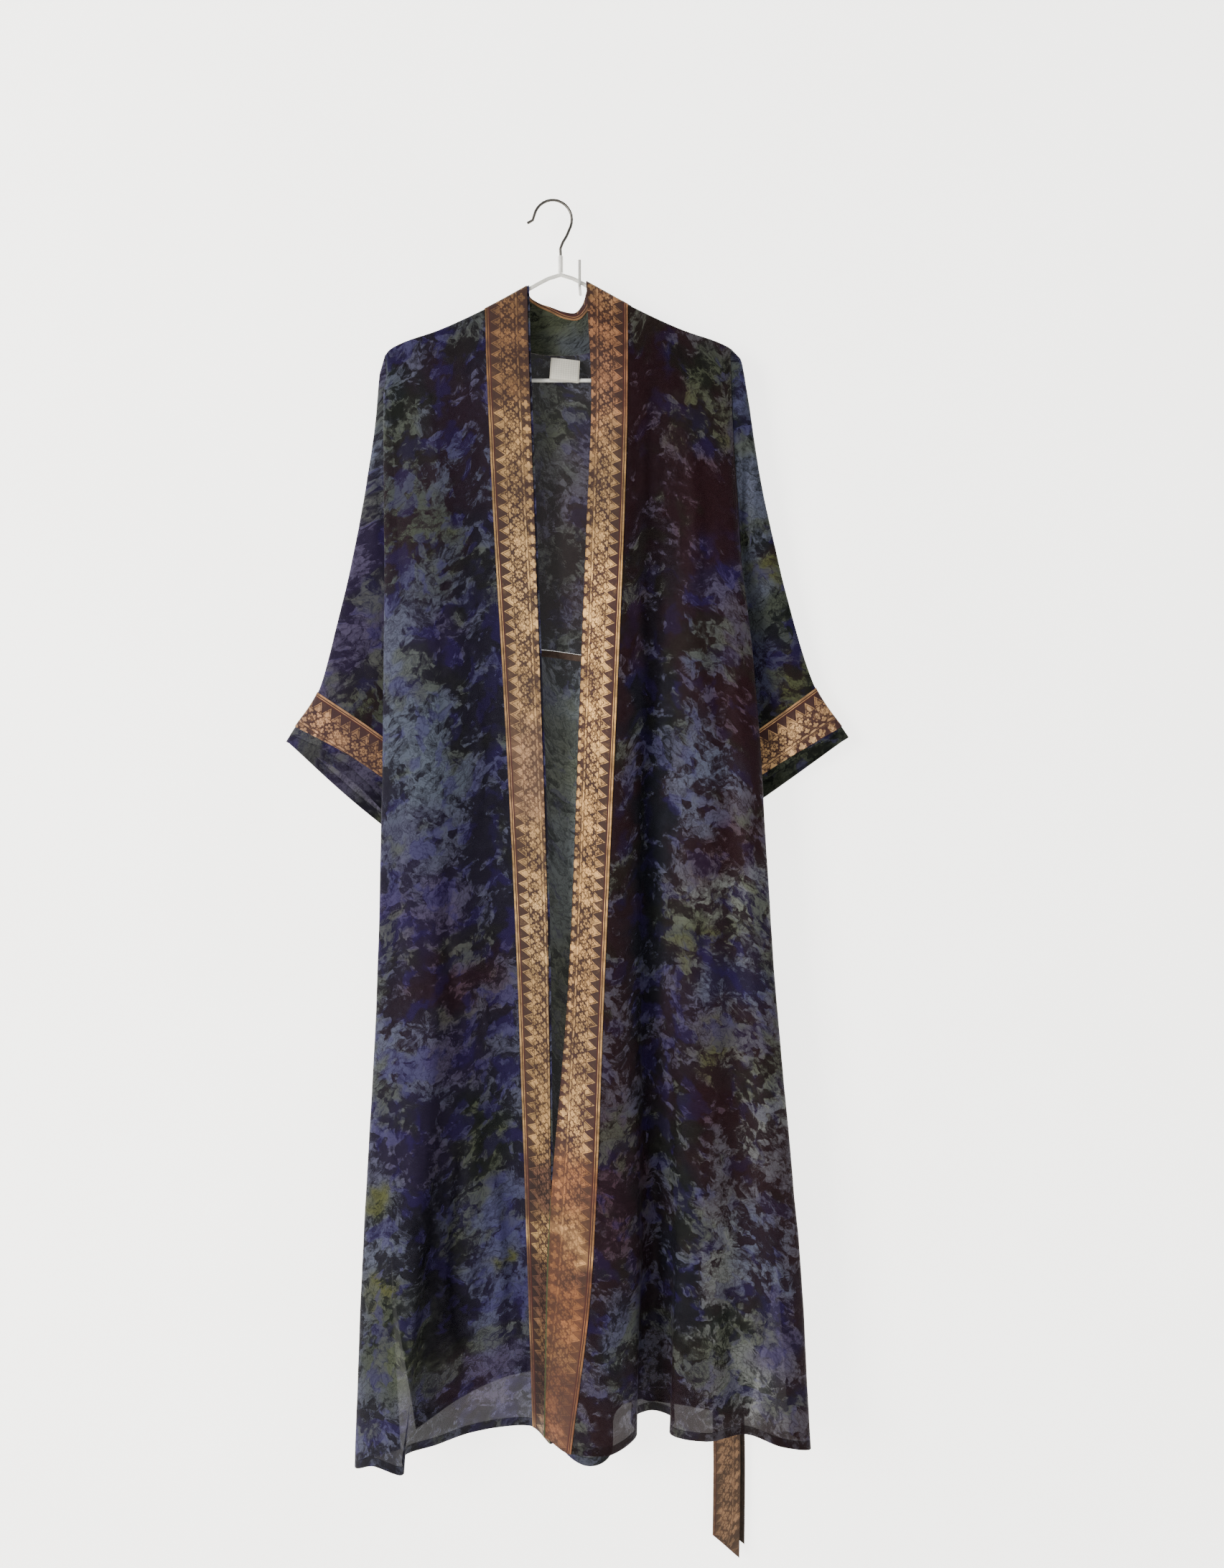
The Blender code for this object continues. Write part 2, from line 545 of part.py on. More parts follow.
def build_belt(cloth, brocade):
    """The belt hangs over its keeper: up the front half, over, and down the rear half."""
    heights = [step.height for step in BELT]
    lines = np.linspace(heights[0], heights[-1], 15)

    def read(name, z):
        return pchip(heights, [getattr(step, name) for step in BELT], z)

    across = np.array((-0.5, 0.0, 0.5)) * BELT_WIDTH
    rows = []
    for share, z in zip(np.linspace(1, 0, len(lines)), lines[::-1]):
        slant = -BELT_POINT * (across / BELT_WIDTH + 0.5) * (z == lines[-1])
        rows.append([(read("x", z) + a, read("front", z), z + s) for a, s in zip(across, slant)])
    top_front, top_rear = BELT[0].front, BELT[0].rear
    middle, radius = (top_front + top_rear) / 2, (top_front - top_rear) / 2
    for angle in np.radians((45, 90, 135)):
        depth = middle + radius * np.cos(angle)
        z = heights[0] + 7.0 + radius * np.sin(angle)
        rows.append([(BELT[0].x + a, depth, z) for a in across])
    for z in lines:
        shift = BELT_REAR_SHIFT * (heights[0] - z) / (heights[0] - heights[-1])
        slant = -BELT_POINT * (across / BELT_WIDTH + 0.5) * (z == lines[-1])
        rise = 14.0 * (z == lines[-1])
        x = read("x", z) + shift
        rows.append([(x + a, read("rear", z), z + s + rise) for a, s in zip(across, slant)])
    add_wall("belt", np.array(rows), BELT_WALL, brocade)
    reach = BELT_WIDTH / 2
    plan = ((reach + 5.0, KEEPER_DEPTH), (reach + 3.2, KEEPER_DEPTH), (reach + 1.2, middle))
    strip = [(BELT[0].x - off, depth) for off, depth in plan] + [(BELT[0].x, middle)]
    strip += [(BELT[0].x + off, depth) for off, depth in plan[::-1]]
    rows = [[(x, depth, KEEPER_HEIGHT + h) for x, depth in strip] for h in (4.0, 0.0, -4.0)]
    add_wall("belt_keeper", np.array(rows), TAPE, cloth)


def add_tube(name, path, radius, finish, cyclic=False):
    """A round wire along the points of path, (x, depth, height) in millimetres, with filled ends."""
    data = bpy.data.curves.new(name, "CURVE")
    data.dimensions = "3D"
    data.bevel_depth = radius * MM
    data.bevel_resolution = TUBE_SIDES
    data.use_fill_caps = True
    line = data.splines.new("POLY")
    line.points.add(len(path) - 1)
    for point, (x, depth, z) in zip(line.points, path):
        point.co = (x * MM, -depth * MM, z * MM, 1.0)
    line.use_cyclic_u = cyclic
    data.materials.append(finish)
    made = bpy.data.objects.new(name, data)
    bpy.context.scene.collection.objects.link(made)
    return made


def arc(centre, radius, start, end, count):
    angles = np.radians(np.linspace(start, end, count))
    return [(centre[0] + radius * np.cos(a), centre[1] + radius * np.sin(a)) for a in angles]


def hanger_outline():
    """Closed wire outline as (x, height), symmetric about the hanger's middle."""
    def arm(reach):
        return float(shoulder_height(HANGER_X + reach)) - ARM_BELOW_CLOTH

    half = [(reach, arm(reach)) for reach in (0.0, 6.0, 14.0, 24.0, 40.0, 70.0, 105.0, 140.0, 165.0)]
    end = arm(ARM_END)
    half += arc((ARM_END, end - CORNER_RADIUS - 0.8), CORNER_RADIUS, 66, 0, 6)
    half += arc((ARM_END, BAR_HEIGHT + CORNER_RADIUS), CORNER_RADIUS, 0, -90, 6)
    half += [(120.0, BAR_HEIGHT), (60.0, BAR_HEIGHT)]
    right = [(HANGER_X + r, z) for r, z in half]
    left = [(HANGER_X - r, z) for r, z in half[:0:-1]]
    return right + [(HANGER_X, BAR_HEIGHT)] + left


def build_hanger(coating, chrome):
    outline = [(x, HANGER_DEPTH, z) for x, z in hanger_outline()]
    add_tube("hanger_frame", outline, ARM_RADIUS, coating, cyclic=True)
    apex = float(shoulder_height(HANGER_X)) - ARM_BELOW_CLOTH
    stem_foot = apex + ARM_RADIUS + SEAM_GAP
    stem = [(HANGER_X, HANGER_DEPTH, z) for z in np.linspace(stem_foot, NECK_TOP, 4)]
    add_tube("hanger_neck", stem, NECK_RADIUS, coating)
    eye_x, eye_z = HOOK_EYE
    foot = NECK_TOP + SEAM_GAP
    path = [(HANGER_X, foot), (HANGER_X - 0.4, foot + 8.0), (HANGER_X + 2.4, foot + 15.0)]
    path += [(HANGER_X + 7.0, foot + 22.5)]
    path += arc(HOOK_EYE, HOOK_EYE_RADIUS, -22, 168, 17)
    path += [(eye_x - 23.2, eye_z - 0.5), (eye_x - 26.5, eye_z - 2.4), (eye_x - 29.5, eye_z - 4.0)]
    add_tube("hanger_hook", [(x, HANGER_DEPTH, z) for x, z in path], HOOK_RADIUS, chrome)


def build_wall_hook(finish):
    """L-shaped hook: a shank out of the wall, a short bend and the upright prong."""
    bend = 3.0
    front = HANGER_DEPTH + ARM_RADIUS + SEAM_GAP + WALL_HOOK_RADIUS + 0.8
    path = [(0.0, 0.0, 0.0), (0.0, 12.0, 0.0), (0.0, 24.0, 0.0)]
    path += [(0.0, d, z) for d, z in arc((front - bend, bend), bend, -90, 0, 5)]
    path += [(0.0, front, WALL_HOOK_PRONG * 0.6), (0.0, front, WALL_HOOK_PRONG)]
    add_tube("wall_hook", path, WALL_HOOK_RADIUS, finish)


def main():
    for old in list(bpy.data.objects):
        bpy.data.objects.remove(old)
    cloth = material("silk", (0.075, 0.078, 0.12), 0.62)
    brocade = material("brocade", (0.42, 0.22, 0.09), 0.5, 0.25)
    label = material("label", (0.82, 0.80, 0.74), 0.8)
    coating = material("white_coating", (0.85, 0.85, 0.84), 0.35)
    chrome = material("chrome", (0.62, 0.61, 0.60), 0.2, 1.0)
    front_left = build_front("left", FRONT_LEFT, 1, cloth, brocade)
    front_right = build_front("right", FRONT_RIGHT, -1, cloth, brocade)
    bodice = build_back(cloth, brocade)
    build_sleeve("left", SLEEVE_LEFT, -1, (front_left, bodice[:, 0]), cloth, brocade)
    build_sleeve("right", SLEEVE_RIGHT, 1, (front_right, bodice[:, -1]), cloth, brocade)
    build_neck(bodice, cloth, brocade)
    build_label(label)
    build_belt(cloth, brocade)
    build_hanger(coating, chrome)
    build_wall_hook(coating)


main()
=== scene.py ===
"""Looks of the kimono robe: thin dyed silk, brocade borders and belt, wire hanger and wall hook.

The tables are in millimetres. A depth is a distance from the wall towards the viewer, so y = -depth.
Left and right are as the viewer sees them.
"""

from collections import namedtuple
from functools import partialmethod

import bmesh
import bpy
import numpy as np
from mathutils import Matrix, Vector, noise

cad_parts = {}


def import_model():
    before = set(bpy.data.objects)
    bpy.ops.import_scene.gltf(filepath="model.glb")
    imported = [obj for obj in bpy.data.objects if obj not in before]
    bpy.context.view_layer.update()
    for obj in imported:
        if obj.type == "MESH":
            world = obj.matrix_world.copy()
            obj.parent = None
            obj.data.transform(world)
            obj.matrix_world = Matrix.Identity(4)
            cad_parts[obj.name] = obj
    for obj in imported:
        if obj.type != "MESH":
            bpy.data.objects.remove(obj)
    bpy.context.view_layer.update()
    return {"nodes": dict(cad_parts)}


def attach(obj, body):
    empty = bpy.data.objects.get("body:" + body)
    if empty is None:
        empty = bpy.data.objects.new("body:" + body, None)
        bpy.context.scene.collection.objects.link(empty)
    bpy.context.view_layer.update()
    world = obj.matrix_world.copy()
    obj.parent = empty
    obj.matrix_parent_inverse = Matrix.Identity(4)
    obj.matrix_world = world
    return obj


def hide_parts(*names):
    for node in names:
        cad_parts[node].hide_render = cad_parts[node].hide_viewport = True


MM = 0.001
NOISE_SEED = 1  # without it the dye's warp would differ from run to run

# The garment's lines, as in the solids
SILK = 0.36  # wall of the silk panels
BRAID = 0.7  # wall of the brocade borders
BRAID_OFF = 0.45 + BRAID / 2  # from the middle of the silk to the middle of a border on it
BAND_REVEAL = 2.5  # the last strip of a front, past its border's inner line
HANGER_X = -22.0
HANGER_DEPTH = 30.0  # of the middle of its wire
CREST_RADIUS = 3.2  # of the silk's turn over the hanger's wire
CREST_DROPS = (  # of a panel's first mesh rows below its top edge
    0.0, 0.3, 0.7, 1.2, 1.9, 2.6, 3.2, 4.5, 7.0, 10.0, 14.0, 20.0, 26.0, 32.0,
)
FRONT_ROWS, BACK_ROWS = 250, 300  # mesh rows below the first ones
UPPER_ROWS, LOWER_ROWS = 70, 190  # the same on the back's two pieces
CREST_SEAM = 0.5  # half the seam between two panels on top of the wire
CREST_SETTLE = 73.2  # drop where a panel has come to its own depth
UNDERARM = -326.0
ARMHOLE_TUCK = 1.2  # how far a sleeve's front layer goes behind the front there
WAIST_SEAM = -424.0
SEAM_GAP = 0.2  # between the two silks of the back

# Height of the shoulder line at each distance from the hanger's middle
SHOULDER = np.array((
    (0.0, 17.0), (15.0, 12.5), (32.0, 3.5), (88.0, -26.0), (142.0, -50.0), (188.0, -66.0),
    (200.0, -73.0), (206.0, -81.0), (212.0, -92.0),
)).T
LEVELS = (-130.0, -280.0, -430.0, -800.0, -1150.0)

# A fold line runs down a panel: x and depth at the top edge, at each of LEVELS and at the hem,
# the hem's height, and the mesh columns from this line to the next one
Fold = namedtuple("Fold", "name x depth hem steps")

FRONT_LEFT = [Fold(*row) for row in (
    ("side seam", (-226, -223.7, -215, -212, -218, -232, -222), (38, 36.8, 36.8, 32, 34, 42, 52), -1396, 10),
    ("side fold", (-220, -227, -228, -230, -241, -262, -274), (40, 43, 45, 48, 56, 67, 74), -1404, 12),
    ("outer", (-200, -201, -199, -200, -208, -232, -248), (40, 44, 51, 57, 66, 82, 92), -1392, 12),
    ("corner ridge", (-172, -170, -166, -166, -170, -192, -209), (41, 46, 52, 57, 66, 88, 106), -1392, 10),
    ("behind corner", (-158, -156, -154, -153, -155, -180, -214), (41, 46, 51, 54, 60, 72, 86), -1386, 8),
    ("valley", (-146, -144, -141, -139, -139, -148, -177), (41, 45, 48, 50, 52, 54, 63), -1384, 8),
    ("valley floor", (-134, -131, -127, -123, -118, -116, -139), (41, 45, 46, 46, 44, 44, 52), -1376, 8),
    ("beside border", (-122, -119, -113, -106, -93, -84, -86), (41, 45, 45, 44, 40, 38, 46), -1370, 6),
    ("border outer", (-110, -106, -100, -92, -76, -66, -60), (41, 46, 45, 44, 42, 42, 44), -1372, 12),
    ("border inner", (-61, -57, -52, -47, -37.5, -35.5, -37), (41, 49, 52, 56, 60, 66, 70), -1378, 1),
)]

FRONT_RIGHT = [Fold(*row) for row in (
    ("side seam", (175, 176.6, 187, 197, 214, 238, 254), (38, 36.8, 36.8, 32, 34, 42, 58), -1372, 9),
    ("side fold", (166, 170, 184, 203, 230, 262, 276), (40, 41, 42, 48, 58, 70, 84), -1375, 9),
    ("right ridge", (154, 157, 166, 184, 210, 232, 242), (41, 43, 47, 55, 66, 82, 96), -1366, 8),
    ("small valley", (140, 142, 150, 165, 182, 192, 198), (41, 44, 48, 53, 60, 72, 84), -1357, 8),
    ("middle ridge", (127, 128, 135, 144, 152, 154, 149), (41, 45, 50, 56, 66, 84, 99), -1357, 8),
    ("ridge edge", (115, 115, 121, 123, 122, 116, 106), (41, 45, 49, 54, 62, 76, 87), -1353, 7),
    ("behind edge", (105, 104, 108, 108, 105, 107, 113), (41, 45, 47, 49, 52, 58, 66), -1350, 6),
    ("valley floor", (96, 95, 96, 94, 90, 90, 87), (41, 45, 46, 46, 46, 46, 48), -1349, 6),
    ("behind ridge", (87, 86, 85, 82, 77, 75, 60), (41, 46, 48, 50, 54, 60, 66), -1350, 6),
    ("front ridge", (78, 77, 74, 70, 66, 68, 67), (41, 48, 52, 58, 70, 84, 92), -1353, 8),
    ("beside border", (69, 68, 64, 59, 50, 46, 35), (41, 49, 54, 62, 78, 96, 105), -1370, 8),
    ("border outer", (60, 59, 55, 49, 33, 19, -8), (41, 50, 56, 64, 82, 99, 100), -1372, 12),
    ("border inner", (10, 16, 10, 4, -11, -37, -42), (41, 44, 46, 50, 60, 86, 82), -1362, 1),
)]

BACK = [Fold(*row) for row in (
    ("left", (-226, -223.7, -215, -212, -218, -232, -205), (24, 24.2, 24.2, 30, 31.6, 38.4, 40), -1378, 9),
    ("left side", (-190, -186, -180, -178, -176, -176, -146), (24, 23, 23, 28, 28, 26, 22), -1345, 9),
    ("left middle", (-140, -137, -131, -128, -118, -104, -70), (24, 22, 21, 23, 23, 20, 17), -1318, 6),
    ("left neck", (-110, -110, -106, -103, -96, -84, -54), (23, 21, 21, 24, 23, 19, 16), -1320, 2),
    ("left neck turn", (-109.2, -104, -98, -93, -87, -75, -49), (23, 21, 21, 24, 22, 19, 17), -1324, 2),
    ("left neck side", (-107.8, -97, -89, -84, -77, -65, -44), (23, 21, 22, 24, 22, 19, 18), -1330, 4),
    ("left valley", (-88, -76, -68, -63, -58, -49, -36), (21.5, 21, 22, 24, 22, 20, 22), -1345, 7),
    ("ridge left", (-60, -48, -42, -38, -34, -27, -24), (19, 21, 24, 25, 28, 38, 55), -1392, 8),
    ("centre ridge", (-22, -16, -12, -9, -4, 3, 8), (18.5, 21, 24, 26, 32, 46, 69), -1407, 8),
    ("ridge right", (20, 22, 23, 24, 26, 31, 36), (19.5, 21, 24, 25, 28, 38, 57), -1400, 7),
    ("right valley", (42, 44, 44, 44, 44, 44, 43), (21, 21, 22, 23, 22, 21, 24), -1364, 4),
    ("right neck side", (57.8, 58, 57, 56, 54, 52, 50), (23, 21, 21, 23, 22, 20, 21), -1358, 2),
    ("right neck turn", (59.2, 65, 65, 65, 63, 60, 57), (23, 21, 21, 23, 22, 20, 20), -1356, 2),
    ("right neck", (60, 73, 74, 74, 73, 70, 66), (23, 21, 21, 23, 22, 20, 20), -1355, 6),
    ("right middle", (92, 92, 92, 92, 91, 88, 85), (24, 22, 21, 23, 22, 20, 19), -1355, 9),
    ("right side", (135, 132, 134, 138, 142, 148, 150), (24, 23, 23, 29, 29, 27, 26), -1360, 9),
    ("right", (175, 176.6, 187, 197, 214, 238, 207), (24, 24.2, 24.2, 30, 31.6, 38.4, 34), -1366, 1),
)]

# Rings of a sleeve: x and height of its outer and of its inner edge, depth at both,
# half its thickness, and how far its front layer is lifted in the middle
SLEEVE_LEFT = (
    (-226, -82, -214, -326, 30, 30, 6.3, 0),  # armhole
    (-233, -97, -220, -336, 29, 26, 7, 0),  # head
    (-239, -150, -221, -362, 28, 20, 7.5, 0),  # cap
    (-251, -225, -219, -398, 27, 14.5, 7.5, 0),  # upper arm
    (-267, -300, -212, -440, 25, 10.5, 7, 0),  # elbow
    (-288, -385, -204, -492, 24, 9.5, 7, 0),  # forearm
    (-314, -470, -198, -553, 22, 9.5, 7, 2),  # border top
    (-342, -511, -195, -608, 20, 9.5, 7.5, 8),  # border bottom
    (-354, -529, -196, -667, 19, 10, 8.5, 22),  # hem
)

SLEEVE_RIGHT = (
    (175.4, -70, 190.5, -326, 30, 30, 6.3, 0),  # armhole
    (187, -82, 192.5, -336, 29, 26, 7, 0),  # head
    (197, -130, 192, -360, 28, 20, 7.5, 0),  # cap
    (209, -205, 196, -398, 28, 14, 7.5, 0),  # upper arm
    (228, -292, 193, -438, 26, 9.8, 7, 0),  # elbow
    (254, -388, 182, -488, 23, 9, 6.5, 0),  # forearm
    (281, -465, 164, -551, 20, 8.5, 6, 0),  # border top
    (313, -511, 154, -613, 19, 8.5, 6, 3),  # border bottom
    (322, -524, 147, -650, 18, 9, 7, 7),  # hem
)
BORDER_RINGS = (6, 7)  # where a sleeve's border starts and ends
RING_HALF = 44  # mesh columns on each layer of a sleeve
RING_ROWS = 12  # mesh rows from one ring to the next

# The neck's top edge, as (x, depth, height)
NECK_EDGE = (
    (-59.5, 24.8, -10), (-50, 20, -16), (-34, 17.5, -21), (-18, 16.5, -26), (-5, 17, -27),
    (3, 18.5, -19), (8, 23.6, -7),
)
NECK_EDGE_LEFT, NECK_EDGE_RIGHT = -61.0, 10.0
NECKLINE_LEFT, NECKLINE_RIGHT = -110.0, 60.0
NECKLINE_LOW = -76.0  # height of the back's edge at its middle
NECK_LAPS = (1.2, 4.0, 8.0, 9.0, 6.0)  # how far the border laps over the facing, from left to right

LABEL_LINE = ((-34.0, 22.2, -79.0), (-34.6, 29.5, -92.0), (-35.0, 33.6, -102.0), (-35.6, 33.6, -107.5))
LABEL_WIDTH = 34.0
LABEL_TILT = 3.6  # drop from its left edge to its right one
LABEL_WALL = 0.5
TAPE = 0.5  # wall of the waist tape

# The belt's path: height, x, depth of its front run and of its rear run
BELT = (
    (-445, 173.5, 27.2, 22.2), (-520, 175.5, 25.8, 21.8), (-650, 178.5, 24.4, 20.6),
    (-800, 179.5, 22.4, 18.6), (-980, 180.5, 19.8, 16.0), (-1150, 180.0, 17.0, 13.2),
    (-1320, 180.0, 14.0, 10.0), (-1450, 182.5, 12.5, 8.0), (-1535, 182.0, 13.0, 8.0),
)
BELT_WIDTH = 34.0
BELT_WALL = 1.0
BELT_TURN = 7.0  # height of its turn above its first point
BELT_POINT = 30.0  # how much longer one edge of its aslant end is
BELT_END = 34.0  # length over which an end turns aslant
BELT_REAR_SHIFT = 7.0  # of the rear end to the right of the front one
BELT_REAR_RISE = 14.0  # of the rear end above the front one
KEEPER_HEIGHT = -444.0
KEEPER_DEPTH = 27.7
KEEPER_WALL = 0.7
KEEPER_ROWS = (3.6, 1.8, 0.0, -1.8, -3.6)  # heights about its middle

# A crease is a soft ridge (height above 0) or trough: x and height of its two ends, width, height
CREASES = {
    "front_left": (
        (-206, -150, -190, -420, 9, -1.6), (-178, -120, -172, -300, 6, 1.1),
        (-140, -260, -150, -560, 8, -1.5), (-122, -470, -128, -640, 5, 1.2),
        (-196, -520, -204, -900, 11, -2.0), (-176, -760, -186, -960, 6, 1.4),
        (-120, -820, -112, -905, 4, 1.3), (-104, -900, -96, -1180, 9, -1.8),
        (-230, -960, -246, -1250, 8, 1.8), (-205, -1130, -222, -1330, 6, -1.6),
        (-90, -1210, -78, -1330, 6, 1.4), (-138, -1000, -130, -1350, 8, -7.0),
        (-116, -1020, -112, -1340, 9, 5.0), (-146, -640, -138, -900, 9, -2.6),
    ),
    "front_right": (
        (88, -130, 92, -300, 7, -1.4), (120, -150, 128, -380, 9, 1.5), (152, -260, 164, -520, 7, -1.4),
        (62, -330, 66, -560, 6, 1.2), (176, -540, 198, -860, 10, 1.8), (150, -700, 158, -880, 6, -1.5),
        (205, -900, 226, -1180, 8, -1.9), (136, -980, 132, -1240, 7, 1.7),
        (180, -1120, 184, -1310, 6, -1.6), (248, -1060, 262, -1290, 6, 1.4), (40, -900, 34, -1120, 7, -1.4),
        (100, -430, 96, -760, 7, -2.6), (196, -1180, 212, -1340, 7, 2.6), (184, -1150, 196, -1330, 7, -2.4),
    ),
    "back": (
        (-190, -140, -176, -400, 10, 1.4), (-120, -150, -112, -330, 8, -1.3),
        (-30, -130, -24, -390, 11, 1.5), (40, -120, 52, -300, 7, -1.2), (120, -160, 132, -400, 10, 1.4),
        (-160, -460, -150, -780, 12, -1.8), (-100, -480, -86, -900, 9, 1.6), (-12, -520, 2, -860, 12, 1.8),
        (60, -470, 58, -700, 7, -1.4), (110, -620, 112, -1010, 11, 1.8), (165, -480, 182, -800, 8, -1.6),
        (-120, -960, -92, -1230, 9, -1.7), (150, -1020, 146, -1280, 10, 1.8),
        (90, -1100, 84, -1300, 6, -1.4),
    ),
    "sleeve_left": (
        (-222, -330, -262, -400, 9, 1.6), (-218, -370, -268, -470, 8, -1.7),
        (-208, -440, -250, -540, 7, 1.5), (-244, -200, -250, -330, 7, 1.0),
        (-226, -560, -240, -640, 6, -1.4),
    ),
    "sleeve_right": (
        (196, -150, 196, -330, 4, 2.0), (203, -180, 203, -400, 4.5, -1.9), (198, -380, 232, -470, 7, 1.5),
        (190, -440, 222, -540, 7, -1.5), (180, -560, 172, -640, 6, 1.3),
    ),
}

SLATE = 0x4F5365
STEEL = 0x45475A
LILAC = 0x463F57
MIST = 0x686B68
OLIVE = 0x4A4C2E
MOSS = 0x3B4036
BLUE = 0x40425E
ROSE = 0x42303A
PLUM = 0x1B0C15
WINE = 0x1D090C
INDIGO = 0x100C17
VIOLET = 0x191029
INK = 0x05060C
PINE = 0x0D1110

